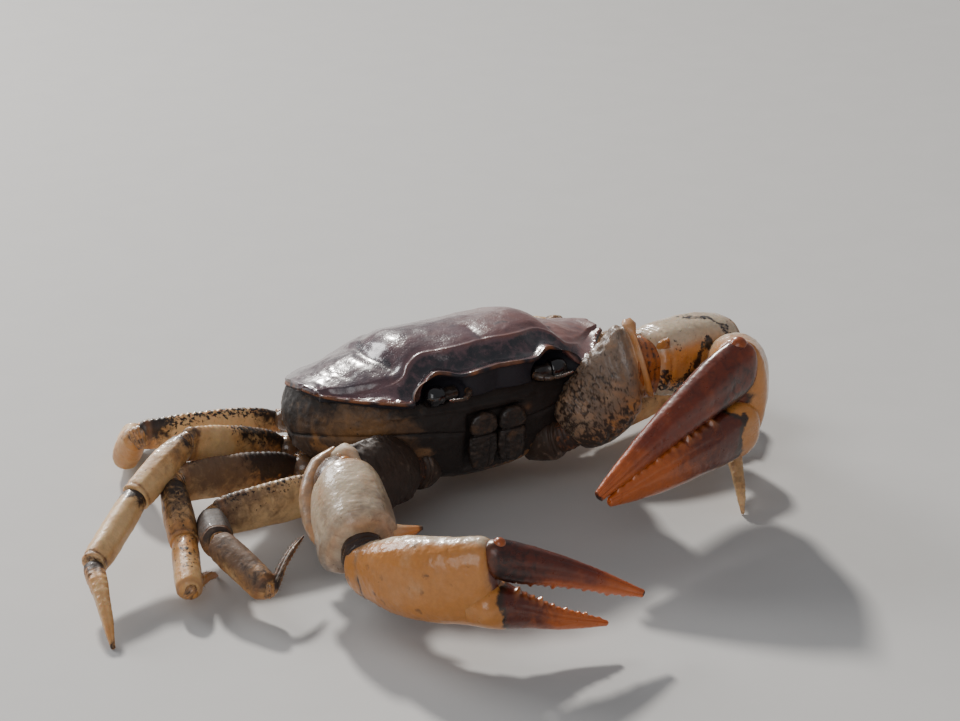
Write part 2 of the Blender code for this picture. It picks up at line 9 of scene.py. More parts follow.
import bpy
import numpy as np
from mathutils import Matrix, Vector


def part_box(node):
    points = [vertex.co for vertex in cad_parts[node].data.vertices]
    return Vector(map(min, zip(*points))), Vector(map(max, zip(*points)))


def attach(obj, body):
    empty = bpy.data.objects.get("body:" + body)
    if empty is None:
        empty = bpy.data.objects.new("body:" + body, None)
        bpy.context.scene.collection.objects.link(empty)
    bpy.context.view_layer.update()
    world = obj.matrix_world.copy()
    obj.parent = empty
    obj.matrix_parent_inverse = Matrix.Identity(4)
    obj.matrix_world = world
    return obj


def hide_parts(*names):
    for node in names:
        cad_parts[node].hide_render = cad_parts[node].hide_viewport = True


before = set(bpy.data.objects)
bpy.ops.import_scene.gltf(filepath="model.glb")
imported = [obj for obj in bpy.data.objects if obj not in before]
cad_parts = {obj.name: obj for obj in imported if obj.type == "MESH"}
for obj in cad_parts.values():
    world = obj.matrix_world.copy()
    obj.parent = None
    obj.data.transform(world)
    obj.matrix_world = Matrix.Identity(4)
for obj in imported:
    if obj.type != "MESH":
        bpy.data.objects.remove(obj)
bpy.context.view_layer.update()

MM = 0.001
RNG = np.random.default_rng(11)
UP = np.array((0.0, 0.0, 1.0))
# The way from the crab to the camera, 31 degrees to its right side and 24 degrees up.
CAMERA_WAY = np.array((-0.4705, -0.783, 0.4067))

# ---------------------------------------------------------------- sizes shared with the solids

CARAPACE_WIDTH = 50.0
RIM_HEIGHT = 20.5
NOSE_UP = math.radians(5.5)
CREST_HEIGHT = 4.4
DOME_SWELL = 3.5
CREST_PLACE = 0.115
CREST_END = 0.90
FOOT_FLAT = 0.18
EYE_RADIUS = 1.55

FRONT_RIM = (
    (0.0, -16.7, 1.9), (3.4, -17.4, 1.9), (6.4, -16.8, 1.6), (9.7, -15.3, 2.3), (12.3, -15.8, 0.9),
    (14.0, -16.7, -1.1), (16.8, -15.4, -0.9), (19.9, -12.0, -0.4), (22.4, -8.9, 0.2),
    (24.2, -7.4, 0.8), (24.2, -6.0, 0.7), (CARAPACE_WIDTH / 2, -2.0, 0.9),
)
BACK_RIM = (
    (0.0, 19.3, -4.2), (5.0, 19.2, -4.2), (9.5, 18.6, -4.1), (14.4, 16.2, -3.5),
    (19.0, 12.2, -2.4), (22.8, 7.0, -1.0), (CARAPACE_WIDTH / 2, -2.0, 0.9),
)
# Half width, front, back and height of the trunk at each level.
TRUNK_LEVELS = (
    (24.0, -15.0, 18.0, -2.6), (25.2, -15.4, 18.2, -5.4), (25.0, -15.0, 16.8, -8.4),
    (23.4, -14.2, 14.4, -11.0), (18.6, -13.4, 12.0, -13.4), (12.4, -12.4, 10.0, -15.4),
    (7.6, -10.6, 7.4, -16.4),
)
LEG_LENGTHS = {
    "leg1": (22.0, 9.8, 12.6, 12.4),
    "leg2": (22.3, 11.2, 12.0, 12.6),
    "leg3": (21.8, 12.3, 14.8, 14.8),
    "leg4": (22.8, 8.6, 11.8, 11.2),
}
LEG_HALF_HEIGHTS = {
    "leg1": (3.0, 2.4, 2.2, 0.9),
    "leg2": (2.9, 2.25, 2.0, 0.95),
    "leg3": (2.6, 2.25, 2.05, 1.3),
    "leg4": (2.35, 2.1, 2.1, 0.95),
}
HIPS = {
    "leg1": ((13.6, -7.2, 8.0), (21.6, -9.8, 6.8)),
    "leg2": ((14.0, -0.6, 7.2), (24.3, -0.1, 6.6)),
    "leg3": ((13.2, 5.2, 7.2), (23.0, 7.3, 6.8)),
    "leg4": ((11.6, 10.6, 8.4), (20.4, 13.0, 8.9)),
}
# The way and the lift of each leg segment, in degrees; the toe's lift takes it to the floor.
REACH_FLOOR = None
LEG_POSES = {
    "leg1_right": ((-3, -1), (70, 5), (99, -14), (-140, 15)),
    "leg2_right": ((5, 9), (73, -24), (67, -12), (-134, REACH_FLOOR)),
    "leg3_right": ((17, 20), (27, -19), (40, -16), (76, REACH_FLOOR)),
    "leg4_right": ((-11, 2), (-97, -44), (-121, -5), (-152, REACH_FLOOR)),
    "leg1_left": ((-5, 10), (93, 3), (129, -23), (117, REACH_FLOOR)),
    "leg2_left": ((-18, 3), (42, 0), (124, -12), (139, REACH_FLOOR)),
    "leg3_left": ((-31, 0), (6, -10), (88, -4), (109, REACH_FLOOR)),
    "leg4_left": ((-37, -3), (-60, -24), (-122, -6), (-126, REACH_FLOOR)),
}
# Joints and half sizes of the claws. arm_short is how far the arm stops short of its joint, arm_sink
# how far its end hangs, and mouth the flare of its end; wrist_shift moves the root of the wrist.
CLAWS = {
    "right": {
        "arm": ((-8.6, -10.6, 8.0), (-13.6, -13.6, 9.0), (-30.2, -21.2, 14.4)),
        "wrist_end": (-33.6, -35.6, 9.0),
        "palm_start": (-34.6, -37.2, 8.0),
        "palm_end": (-24.2, -55.2, 11.0),
        "palm_bow": (-3.4, -2.4, 1.2),
        "thumb_tip": (-10.4, -60.6, 3.6),
        "finger_tip": (-5.2, -61.4, 6.9),
        "spine": (0.85, -0.5, 0.1),
        "arm_short": (-2.0926, -0.958, 0.6807),
        "arm_half": (5.6, 4.9),
        "arm_sink": 2.2,
        "mouth": 1.1,
        "wrist_shift": (0.9, -0.5, 0.3),
        "wrist_half": (6.1, 5.4),
        "wrist_skin": (3.68, 4.536),
        "palm_skin": (3.78, 3.3),
        "height": (4.4, 5.8, 6.2),
        "thickness": (2.9, 3.9, 3.3),
    },
    "left": {
        "arm": ((8.6, -10.6, 7.4), (12.6, -15.8, 9.4), (23.2, -21.5, 20.0)),
        "wrist_end": (40.8, -18.4, 19.3),
        "palm_start": (36.0, -24.0, 19.4),
        "palm_end": (28.2, -36.6, 19.2),
        "palm_bow": (1.2, -1.0, 0.6),
        "thumb_tip": (3.4, -40.2, 10.0),
        "finger_tip": (1.6, -40.0, 11.2),
        "spine": (-0.1, -0.72, 0.68),
        "arm_short": (2.6, -0.6, 0.6),
        "arm_half": (6.2, 4.5),
        "arm_sink": -1.6,
        "mouth": 0.96,
        "wrist_shift": (-1.6, 0.2, 1.0),
        "wrist_half": (5.6, 5.4),
        "wrist_skin": (4.96, 4.032),
        "palm_skin": (2.352, 3.45),
        "height": (4.6, 6.6, 9.2),
        "thickness": (3.6, 4.6, 4.2),
    },
}

# ---------------------------------------------------------------- curves, noise and grids


def unit(vector):
    """Vectors of length 1 along the last axis."""
    vector = np.asarray(vector, float)
    return vector / np.maximum(np.linalg.norm(vector, axis=-1, keepdims=True), 1e-9)


def smooth(low, high, value):
    """0 below low, 1 above high, with level ends."""
    value = np.clip((value - low) / (high - low), 0.0, 1.0)
    return value * value * (3.0 - 2.0 * value)


def bell(value, width):
    """1 at 0, falling away on both sides."""
    return np.exp(-((value / width) ** 2))


def streak(angle, width, *middles):
    """1 along lines of a limb at angles in degrees, falling away on both sides of each."""
    return sum(bell((np.degrees(angle) - middle + 180.0) % 360.0 - 180.0, width) for middle in middles)


def paint(**masks):
    """Colour masks, held between 0 and 1."""
    return {key: np.clip(value, 0, 1) for key, value in masks.items()}


def curve(knots, places):
    """Catmull-Rom curve through evenly counted knots; places run from 0 to 1."""
    knots = np.asarray(knots, float)
    places = np.atleast_1d(np.asarray(places, float))
    spans = len(knots) - 1
    index = np.minimum((places * spans).astype(int), spans - 1)
    t = (places * spans - index)[:, None]
    ends = np.vstack([2 * knots[0] - knots[1], knots, 2 * knots[-1] - knots[-2]])
    p0, p1, p2, p3 = (ends[index + step] for step in range(4))
    return 0.5 * (
        2 * p1 + (p2 - p0) * t + (2 * p0 - 5 * p1 + 4 * p2 - p3) * t**2
        + (3 * p1 - 3 * p2 + p3 - p0) * t**3
    )


def through(places, values, wanted):
    """Rows of values at wanted places, smooth through the rows at uneven places."""
    slopes = np.gradient(values, places, axis=0)
    index = np.clip(np.searchsorted(places, wanted, side="right") - 1, 0, len(places) - 2)
    span = (places[index + 1] - places[index])[:, None]
    t = np.clip((wanted - places[index])[:, None] / span, 0.0, 1.0)
    return (
        values[index] * (2 * t**3 - 3 * t**2 + 1) + slopes[index] * span * (t**3 - 2 * t**2 + t)
        + values[index + 1] * (-2 * t**3 + 3 * t**2) + slopes[index + 1] * span * (t**3 - t**2)
    )


def scatter(cells, seed):
    """One number from 0 to 1 for each cell of a lattice."""
    mixed = cells[..., 0] * 73856093 ^ cells[..., 1] * 19349663 ^ cells[..., 2] * 83492791
    mixed = (mixed ^ (seed * 6542989 + 977)) & 0x7FFFFFFF
    mixed = ((mixed ^ (mixed >> 13)) * 1274126177) & 0x7FFFFFFF
    return ((mixed ^ (mixed >> 16)) & 0xFFFF) / 65535.0


def noise(points, size, seed=0, octaves=3):
    """Smooth noise from -1 to 1, with features about as wide as size in millimetres."""
    place, total, weight, whole = points / size, 0.0, 1.0, 0.0
    for octave in range(octaves):
        base = np.floor(place).astype(np.int64)
        part = place - base
        part = part * part * (3 - 2 * part)
        value = 0.0
        for corner in range(8):
            step = np.array((corner & 1, corner >> 1 & 1, corner >> 2))
            share = np.prod(np.where(step, part, 1 - part), axis=-1)
            value = value + share * scatter(base + step, seed + 31 * octave)
        total = total + weight * (2 * value - 1)
        whole += weight
        weight *= 0.5
        place = place * 2.03 + 11.7
    return total / whole


def grains(points, size, seed=0, reach=0.6):
    """Round grains set at random: 1 in the middle of a grain, 0 between grains."""
    place = points / size
    base = np.floor(place).astype(np.int64)
    nearest = np.full(place.shape[:-1], 9.0)
    for index in range(27):
        cell = base + np.array((index % 3 - 1, index // 3 % 3 - 1, index // 9 - 1))
        middle = cell + np.stack([scatter(cell, seed + axis) for axis in range(3)], axis=-1)
        nearest = np.minimum(nearest, np.linalg.norm(middle - place, axis=-1))
    return np.clip(1 - (nearest / reach) ** 2, 0.0, 1.0)


def normals(grid):
    """Outward unit normals of a grid whose columns go round."""
    around = np.roll(grid, -1, axis=1) - np.roll(grid, 1, axis=1)
    return unit(np.cross(np.gradient(grid, axis=0), around))


def raise_by(grid, height):
    """The grid moved out along its normals by a height in millimetres."""
    return grid + normals(grid) * np.asarray(height)[..., None]


def sweep(stations, rows, cols, power=2.3, caps=(0.0, 0.0), up=UP, corners=0.0):
    """Grid of points round a line of stations (middle, axis, half height, half width).

    Returns the grid, the place along the line from 0 to 1 and the angle round it, in which 90
    degrees is up. caps are the lengths of the rounded ends.
    """
    table = np.array([[*middle, *unit(axis), high, wide] for middle, axis, high, wide in stations])
    steps = np.maximum(np.linalg.norm(np.diff(table[:, :3], axis=0), axis=1), 0.08)
    places = np.concatenate([[0.0], np.cumsum(steps)])
    length = places[-1]
    bend = np.linspace(0.06, math.pi / 2, 10)
    first = caps[0] * (1 - np.cos(bend)) if caps[0] else np.array([0.0])
    last = length - (caps[1] * (1 - np.cos(bend)))[::-1] if caps[1] else np.array([length])
    wanted = np.concatenate([first, np.linspace(first[-1], last[0], rows)[1:-1], last])
    size = np.ones((len(wanted), 1))
    if caps[0]:
        size[: len(first), 0] = np.sin(bend)
    if caps[1]:
        size[-len(last):, 0] = np.sin(bend)[::-1]
    made = through(places, table, wanted)
    axis = unit(made[:, 3:6])
    across = unit(np.cross(axis, up))
    upward = np.cross(across, axis)
    angle = np.linspace(0, 2 * math.pi, cols, endpoint=False)
    swell = 1.0 + corners * np.cos(3 * (angle - math.pi / 2))
    c, s = (np.sign(wave) * np.abs(wave) ** (2 / power) * swell for wave in (np.cos(angle), np.sin(angle)))
    high, wide = made[:, 6:7] * size * s, made[:, 7:8] * size * c
    grid = made[:, None, :3] + across[:, None] * wide[..., None] + upward[:, None] * high[..., None]
    return (grid, *np.meshgrid(wanted / length, angle, indexing="ij"))


def straight(start, end, profile, high, wide, sink=0.0, bow=0.0):
    """Stations of a straight piece from a profile of places, sizes and rises.

    sink moves its far end down by a length, and bow moves its middle up by one.
    """
    upward = unit(np.cross(np.cross(end - start, UP), end - start))
    stations = []
    for place, size, *rise in profile:
        lift = upward * (sum(rise) * high + bow * math.sin(math.pi * place))
        middle = start + (end - start) * place + lift - UP * sink * smooth(0.5, 1.0, place)
        stations.append((middle, end - start, high * size, wide * size))
    return stations


def along(route, high, wide):
    """Stations along a line of points."""
    return list(zip(route, np.gradient(route, axis=0), np.broadcast_to(high, len(route)), wide))


def ball(middle, radius, masks):
    """A knob of a joint, with its masks."""
    spin = np.linspace(0, 2 * math.pi, 32, endpoint=False)
    tilt, spin = np.meshgrid(np.linspace(0.05, math.pi - 0.05, 22), spin, indexing="ij")
    points = np.stack([-np.cos(tilt), -np.sin(tilt) * np.cos(spin), np.sin(tilt) * np.sin(spin)], axis=-1)
    return middle + radius * points, masks


def body_to_room(points):
    """Points of the body's frame, after the body is tipped nose up over the floor."""
    c, s = math.cos(NOSE_UP), math.sin(NOSE_UP)
    return np.asarray(points, float) @ np.array(((1, 0, 0), (0, c, -s), (0, s, c))) + UP * RIM_HEIGHT


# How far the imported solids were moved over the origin, in millimetres.
LOW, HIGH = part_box("carapace")
SHIFT = np.array(((LOW[0] + HIGH[0]) / 2 / MM, HIGH[1] / MM - body_to_room(BACK_RIM[0])[1], 0.0))

# ---------------------------------------------------------------- objects


def make(name, grids, slot, node=None, material=None):
    """One object from grids (points, masks); each grid is closed at both ends by a point."""
    verts, quads, tris, masks, total = [], [], [], {}, 0
    names = sorted({key for _, given in grids for key in given})
    for points, given in grids:
        rows, cols = points.shape[:2]
        verts += [points.reshape(-1, 3), points[:1].mean(axis=1), points[-1:].mean(axis=1)]
        for key in names:
            value = np.broadcast_to(given.get(key, 0.0), (rows, cols))
            masks.setdefault(key, []).extend([value.ravel(), [value[0].mean(), value[-1].mean()]])
        index = np.arange(total, total + rows * cols).reshape(rows, cols)
        ahead = np.roll(index, -1, axis=1)
        quads.append(np.stack([index[:-1], index[1:], ahead[1:], ahead[:-1]], axis=-1).reshape(-1, 4))
        total += rows * cols + 2
        tip, tail = np.full(cols, total - 2), np.full(cols, total - 1)
        for fan in ((tip, index[0], ahead[0]), (tail, ahead[-1], index[-1])):
            tris.append(np.stack(fan, axis=-1))
    piece = bpy.data.objects.new(name, raw_mesh(name, np.vstack(verts), np.vstack(quads), np.vstack(tris)))
    for key in names:
        layer = piece.data.attributes.new(key, "FLOAT", "POINT")
        layer.data.foreach_set("value", np.concatenate(masks[key]).astype(np.float32))
    put(piece, material or slot, node)


def raw_mesh(name, verts, quads, tris):
    """A smooth mesh from arrays of points, four-sided and three-sided faces, none below the floor."""
    verts = (verts + SHIFT) * MM
    verts[:, 2] = np.maximum(verts[:, 2], 0.0)
    mesh = bpy.data.meshes.new(name)
    mesh.vertices.add(len(verts))
    mesh.vertices.foreach_set("co", verts.astype(np.float32).ravel())
    corners = np.concatenate([quads.ravel(), tris.ravel()]).astype(np.int32)
    sizes = np.repeat((4, 3), (len(quads), len(tris))).astype(np.int32)
    mesh.loops.add(len(corners))
    mesh.loops.foreach_set("vertex_index", corners)
    mesh.polygons.add(len(sizes))
    mesh.polygons.foreach_set("loop_start", np.concatenate([[0], np.cumsum(sizes)[:-1]]))
    mesh.polygons.foreach_set("loop_total", sizes)
    mesh.update(calc_edges=True)
    mesh.validate()
    mesh.shade_smooth()
    return mesh


def put(piece, material, node):
    """Links a piece, gives it its material and hides the solid that it stands for."""
    piece.data.materials.append(MATERIALS[material])
    bpy.context.scene.collection.objects.link(piece)
    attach(piece, "root")
    if node:
        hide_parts(node)


# ---------------------------------------------------------------- materials


class Nodes:
    """Short ways to add shader nodes to one material."""

    def __init__(self, name):
        self.material = bpy.data.materials.new(name)
        self.material.use_nodes = True
        self.tree = self.material.node_tree
        self.shader = self.tree.nodes["Principled BSDF"]
        self.place = self.add("ShaderNodeTexCoord").outputs["Object"]

    def add(self, kind, **settings):
        node = self.tree.nodes.new(kind)
        for key, value in settings.items():
            setattr(node, key, value)
        return node

    def feed(self, node, **values):
        """Sets or links sockets; a name's low lines stand for spaces."""
        for key, value in values.items():
            socket = node.inputs[key.replace("_", " ")]
            if isinstance(value, bpy.types.NodeSocket):
                self.tree.links.new(value, socket)
            else:
                socket.default_value = value

    def mask(self, name):
        return self.add("ShaderNodeAttribute", attribute_name=name).outputs["Fac"]

    def noise(self, size, detail=3.0, rough=0.55, distort=0.0):
        """Noise from 0 to 1 with features of a size in millimetres."""
        node = self.add("ShaderNodeTexNoise")
        scale = 1 / (size * MM)
        self.feed(node, Vector=self.place, Scale=scale, Detail=detail, Roughness=rough, Distortion=distort)
        return node.outputs["Fac"]

    def cells(self, size):
        node = self.add("ShaderNodeTexVoronoi")
        self.feed(node, Vector=self.place, Scale=1 / (size * MM))
        return node.outputs["Distance"]

    def math(self, operation, *values):
        node = self.add("ShaderNodeMath", operation=operation)
        for socket, value in zip(node.inputs, values):
            if isinstance(value, bpy.types.NodeSocket):
                self.tree.links.new(value, socket)
            else:
                socket.default_value = value
        return node.outputs[0]

    def laid(self, value, share, mask):
        """A mask with a share of noise laid over it."""
        mask = self.mask(mask) if isinstance(mask, str) else mask
        return self.math("MULTIPLY_ADD", self.math("SUBTRACT", value, 0.5), share, mask)

    def spread(self, value, low, high, to_low=0.0, to_high=1.0, kind="SMOOTHSTEP"):
        node = self.add("ShaderNodeMapRange", interpolation_type=kind)
        self.feed(node, Value=value, From_Min=low, From_Max=high, To_Min=to_low, To_Max=to_high)
        return node.outputs["Result"]

    def blend(self, share, a, b, kind="MIX"):
        node = self.add("ShaderNodeMix", data_type="RGBA", blend_type=kind)
        self.feed(node, Factor=share, A=a, B=b)
        return node.outputs["Result"]

    def bump(self, height, depth, **before):
        node = self.add("ShaderNodeBump")
        self.feed(node, Strength=0.35, Distance=depth * MM, Height=height, **before)
        return node.outputs["Normal"]


# The colours of each kind of shell: pale, orange, grey, dark, specks and edges. The grey and dark tones are
# also laid as painted shade over parts that sit in shade.
TONES = {
    "shield": ((0.125, 0.062, 0.072), (0.185, 0.068, 0.052), (0.055, 0.036, 0.048),
               (0.012, 0.011, 0.017), (0.42, 0.38, 0.34), (0.34, 0.115, 0.035)),
    "trunk": ((0.19, 0.105, 0.05), (0.26, 0.12, 0.035), (0.05, 0.027, 0.015),
              (0.013, 0.008, 0.006), (0.01, 0.008, 0.006), (0.30, 0.12, 0.04)),
    # The leg's grey tone is the brown of leg parts in shade: painted shade.
    "leg": ((0.66, 0.43, 0.21), (0.52, 0.22, 0.05), (0.145, 0.08, 0.043),
            (0.03, 0.016, 0.01), (0.022, 0.012, 0.008), (0.30, 0.13, 0.05)),
    "claw": ((0.56, 0.44, 0.31), (0.50, 0.195, 0.04), (0.20, 0.14, 0.10),
             (0.035, 0.018, 0.010), (0.025, 0.013, 0.008), (0.55, 0.24, 0.08)),
    "finger": ((0.46, 0.098, 0.012), (0.16, 0.022, 0.006), (0.075, 0.013, 0.006),
               (0.018, 0.005, 0.004), (0.03, 0.008, 0.005), (0.42, 0.12, 0.025)),
    # The eye's tones are near black: painted shade, as the eye sits in the shade of its orbit.
    "eye": ((0.05, 0.03, 0.018), (0.12, 0.06, 0.02), (0.03, 0.02, 0.015),
            (0.006, 0.005, 0.006), (0.02, 0.01, 0.01), (0.05, 0.03, 0.018)),
    "membrane": ((0.34, 0.16, 0.06), (0.34, 0.10, 0.022), (0.09, 0.045, 0.022),
                 (0.03, 0.014, 0.009), (0.03, 0.015, 0.01), (0.34, 0.16, 0.06)),
}
# How each kind shines, and the sizes of its pits, specks and mottling in millimetres.
FINISHES = {
    "shield": dict(rough=0.25, coat=0.9, grain=0.42, speck=0.34, mottle=4.2, sheen=0.15),
    "trunk": dict(rough=0.42, coat=0.3, grain=0.5, speck=0.7, mottle=4.6, depth=0.07),
    "leg": dict(rough=0.38, coat=0.3, glow=0.3, grain=0.4, speck=0.5),
    "claw": dict(rough=0.30, coat=0.5, glow=0.16, grain=0.55, speck=0.62, mottle=3.4),
    "finger": dict(rough=0.32, coat=0.32, glow=0.14, grain=0.7, speck=0.8, mottle=3.0, depth=0.03,
                   sheen=0.26),
    "eye": dict(rough=0.12, coat=0.7, grain=0.12, speck=0.3, depth=0.012),
    "membrane": dict(rough=0.3, coat=0.4, glow=0.2, grain=0.5, speck=0.5, mottle=1.6),
}
RED_ROOT, RED_TIP = (0.09, 0.014, 0.006, 1.0), (0.44, 0.098, 0.012, 1.0)
BRISTLES = (0.16, 0.09, 0.045, 1.0), (0.42, 0.33, 0.22, 1.0)
FLOORS = (0.50, 0.492, 0.48, 1.0), (0.54, 0.532, 0.52, 1.0)


def shell(name, rough, coat, grain, speck, glow=0.0, mottle=2.6, depth=0.05, sheen=0.13):
    """Chitin: tones laid by masks and noise, dark specks, and a fine pitted, glossy surface."""
    pale, warm, dusk, dark, specks, edge = ((*tone, 1.0) for tone in TONES[name])
    n = Nodes(name)
    middle = n.noise(mottle * 0.42, 4.0, 0.62, 0.6)
    colour = n.blend(n.spread(n.laid(n.noise(mottle, 4.0, 0.6), 1.1, "warm"), 0.0, 1.0), pale, warm)
    colour = n.blend(n.spread(n.laid(middle, 0.9, "dusk"), 0.12, 0.9), colour, dusk)
    colour = n.blend(n.spread(n.laid(middle, 1.3, "dark"), 0.3, 0.78), colour, dark)
    wanted = n.math("MULTIPLY_ADD", n.mask("speck"), -0.3, 0.76)
    over = n.math("SUBTRACT", n.noise(speck, 3.0, 0.6, 0.4), wanted)
    spots = n.math("MULTIPLY", n.spread(over, 0.0, 0.05), n.spread(n.mask("speck"), 0.02, 0.15))
    colour = n.blend(spots, colour, specks)
    if name == "claw":
        tip = n.spread(n.math("MULTIPLY_ADD", middle, 0.8, n.mask("tip")), 0.35, 1.1)
        red = n.blend(tip, RED_ROOT, RED_TIP)
        colour = n.blend(n.spread(n.laid(middle, 0.7, "red"), 0.3, 0.75), colour, red)
    colour = n.blend(n.math("MULTIPLY", n.mask("edge"), 0.9), colour, edge)
    tint = n.spread(n.noise(0.9, 5.0, 0.7), 0.25, 0.75, 0.86, 1.12, "LINEAR")
    gloss = n.math("MULTIPLY_ADD", n.mask("dull"), 0.34, n.laid(n.noise(1.7, 4.0, 0.65), 0.34, rough))
    pits = n.bump(n.spread(n.cells(grain), 0.0, 0.5), depth)
    wet = n.math("MULTIPLY_ADD", n.mask("dull"), -1.1 * coat, coat)
    n.feed(
        n.shader,
        Base_Color=n.blend(1.0, colour, tint, "MULTIPLY"),
        Roughness=n.math("MAXIMUM", gloss, 0.08),
        Normal=n.bump(n.noise(0.35, 4.0, 0.6), depth, Normal=pits),
        Coat_Weight=n.math("MAXIMUM", wet, 0.0),
        Coat_Roughness=sheen,
    )
    if glow:
        n.feed(n.shader, Subsurface_Weight=glow, Subsurface_Scale=1.6 * MM)
        n.feed(n.shader, Subsurface_Radius=(1.0, 0.45, 0.18))
    return n.material


def make_materials():
    """One material for each slot, and those of the joint skins, bristles and floor."""
    made = {name: shell(name, **finish) for name, finish in FINISHES.items()}
    made["toe"] = made["leg"]
    n = Nodes("bristle")
    tone = n.blend(n.spread(n.noise(1.2, 2.0), 0.3, 0.7), *BRISTLES)
    n.feed(n.shader, Base_Color=tone, Roughness=n.spread(n.noise(0.8), 0.3, 0.7, 0.35, 0.6))
    made["bristle"] = n.material
    n = Nodes("studio_floor")
    n.feed(n.shader, Base_Color=n.blend(n.noise(9.0, 4.0), *FLOORS), Roughness=0.75)
    made["floor"] = n.material
    return made


MATERIALS = make_materials()

# ---------------------------------------------------------------- the shield

LIP = 0.7
# How far the shield's side ends hang: the right one, then the left one.
SIDE_DROOP = (1.1, 0.605)
LIP_STEPS, WALL_STEPS, UNDER_STEPS = 8, 14, 28
# Lines of grooves on the shield, as places on its right half seen from above.
CERVICAL = ((13.8, -10.4), (14.7, -3.6), (11.2, 2.8), (6.4, 6.4), (3.4, 7.4))
GASTRIC = ((3.6, 7.4), (4.4, 4.6), (3.0, 2.2))
HEART = ((3.4, 7.4), (5.4, 9.4), (5.2, 13.0), (3.6, 15.4))
FRONT_SPLIT = ((0.0, -13.4), (0.0, -8.0))
ORBIT_MIDDLE, ORBIT_SIZES = np.array((10.0, -16.6, -1.1)), np.array((4.5, 3.4, 2.7))


def orbit_push(points):
    """Points of the body's frame moved out of the hollows of the two orbits."""
    sides = np.where(points[..., :1] < 0, -1.0, 1.0) * (1, 0, 0) + (0, 1, 1)
    local = (points * sides - ORBIT_MIDDLE) / ORBIT_SIZES
    far = np.linalg.norm(local, axis=-1, keepdims=True)
    moved = ORBIT_MIDDLE + local / np.maximum(far, 1e-3) * ORBIT_SIZES
    return np.where(far < 1, moved * sides, points)


def groove(points, line, width):
    """1 along a line of (x, y) places that is the same on both sides of the body."""
    place = np.stack([np.abs(points[..., 0]), points[..., 1]], axis=-1)
    nearest = np.full(place.shape[:-1], 99.0)
    route = curve(line, np.linspace(0, 1, 8 * len(line)))
    for a, b in zip(route, route[1:]):
        span = b - a
        t = np.clip(((place - a) @ span) / (span @ span), 0, 1)
        nearest = np.minimum(nearest, np.linalg.norm(place - a - t[..., None] * span, axis=-1))
    return bell(nearest, width)


def shield_floor(y):
    """Level of the underside of the shield in the body's frame."""
    return np.interp(y, (-17.0, 0.0, 20.0), (-2.3, -0.9, -5.6))


def shield_form():
    """The domed plate with its crest, lip and hollow underside, before its relief.

    Returns its points in the body's frame, the place v from the front rim (0) to the back rim (1),
    the share of the half width, the fade of the crest, and which points are on top and on lips.
    """
    rows = 372
    u = np.sin(np.linspace(-1, 1, rows) * math.pi / 2 * 0.999)
    front = curve(FRONT_RIM, np.abs(u))
    share = np.clip(front[:, :1] / (CARAPACE_WIDTH / 2), 0, 1)
    widths = [point[0] / BACK_RIM[-1][0] for point in BACK_RIM]
    rear = curve(BACK_RIM, np.interp(share[:, 0], widths, np.linspace(0, 1, len(widths))))
    rear[:, 0] = front[:, 0] = front[:, 0] * np.sign(u)
    length = np.linalg.norm(rear - front, axis=1, keepdims=True)
    inset = np.clip(0.7 / np.maximum(length, 1e-3), 0.02, 0.3)

    top = np.concatenate([np.linspace(0, 0.2, 74), np.linspace(0.2, 1, 108)[1:]])
    lip_turn = np.linspace(0, math.pi, LIP_STEPS + 2)[1:-1]
    ramp = 1.2 * inset * np.linspace(0, 1, WALL_STEPS)
    middle = 1 - 1.2 * inset - (1 - 2.4 * inset) * np.linspace(0, 1, UNDER_STEPS + 2)[1:-1]
    ones = np.ones((rows, 1))
    lip_place = ones * np.ones(LIP_STEPS)
    v = np.hstack([ones * top, lip_place, 1 - ramp, middle, ramp[:, ::-1], lip_place * 0])
    under = np.zeros(WALL_STEPS * 2 + UNDER_STEPS)
    on_top = np.arange(v.shape[1]) < len(top)
    lip = np.concatenate([top * 0, np.sin(lip_turn), under, np.sin(lip_turn)])
    drop_turn = np.concatenate([top * 0, 1 - np.cos(lip_turn), under, 1 - np.cos(lip_turn[::-1])])
    is_under = np.concatenate([top * 0, lip_turn * 0, under + 1, lip_turn * 0]) > 0
    behind = np.arange(v.shape[1]) < len(top) + LIP_STEPS

    fade = 1 - smooth(0, CREST_END, share) ** 1.5
    base = front[:, None] + (rear - front)[:, None] * v[..., None]
    low, high = front[:, 2:], rear[:, 2:]
    crest = low + (CREST_HEIGHT - low) * fade
    t = np.clip(v / CREST_PLACE, 0, 1)
    rest = np.clip((v - CREST_PLACE) / (1 - CREST_PLACE), 0, 1)
    rising = low + (crest - low) * (0.35 * t + 0.65 * t**2.4)
    swell = DOME_SWELL * (1 - share**2.6) * np.sin(math.pi * rest**0.8) * 0.75
    x = base[..., 0]
    droop = smooth(16, 25, np.abs(x)) * np.where(x > 0, SIDE_DROOP[1], SIDE_DROOP[0])
    base[..., 2] = np.where(v <= CREST_PLACE, rising, crest + (high - crest) * rest**1.7 + swell) - droop

    thick = LIP * (1 - 0.35 * share)
    ahead, back = (unit(np.gradient(rim, axis=0) * (1, 1, 0)) for rim in (front, rear))
    out_front, out_back = (np.cross(rim, UP)[:, None] for rim in (ahead, -back))
    out = np.where(behind[:, None], out_back, out_front)
    base = base + out * (lip * thick / 2 * smooth(0.0, 1.6, length))[..., None]
    full = np.maximum(base[..., 2] - shield_floor(base[..., 1]), thick)
    wall = smooth(0.45 * inset, inset, v) * smooth(0.45 * inset, inset, 1 - v)
    base[..., 2] -= np.where(is_under, thick + (full - thick) * wall, thick * drop_turn / 2)
    base = np.where(on_top[:, None], base, orbit_push(base))
    return base, v, share, fade, t, on_top, lip > 0, length


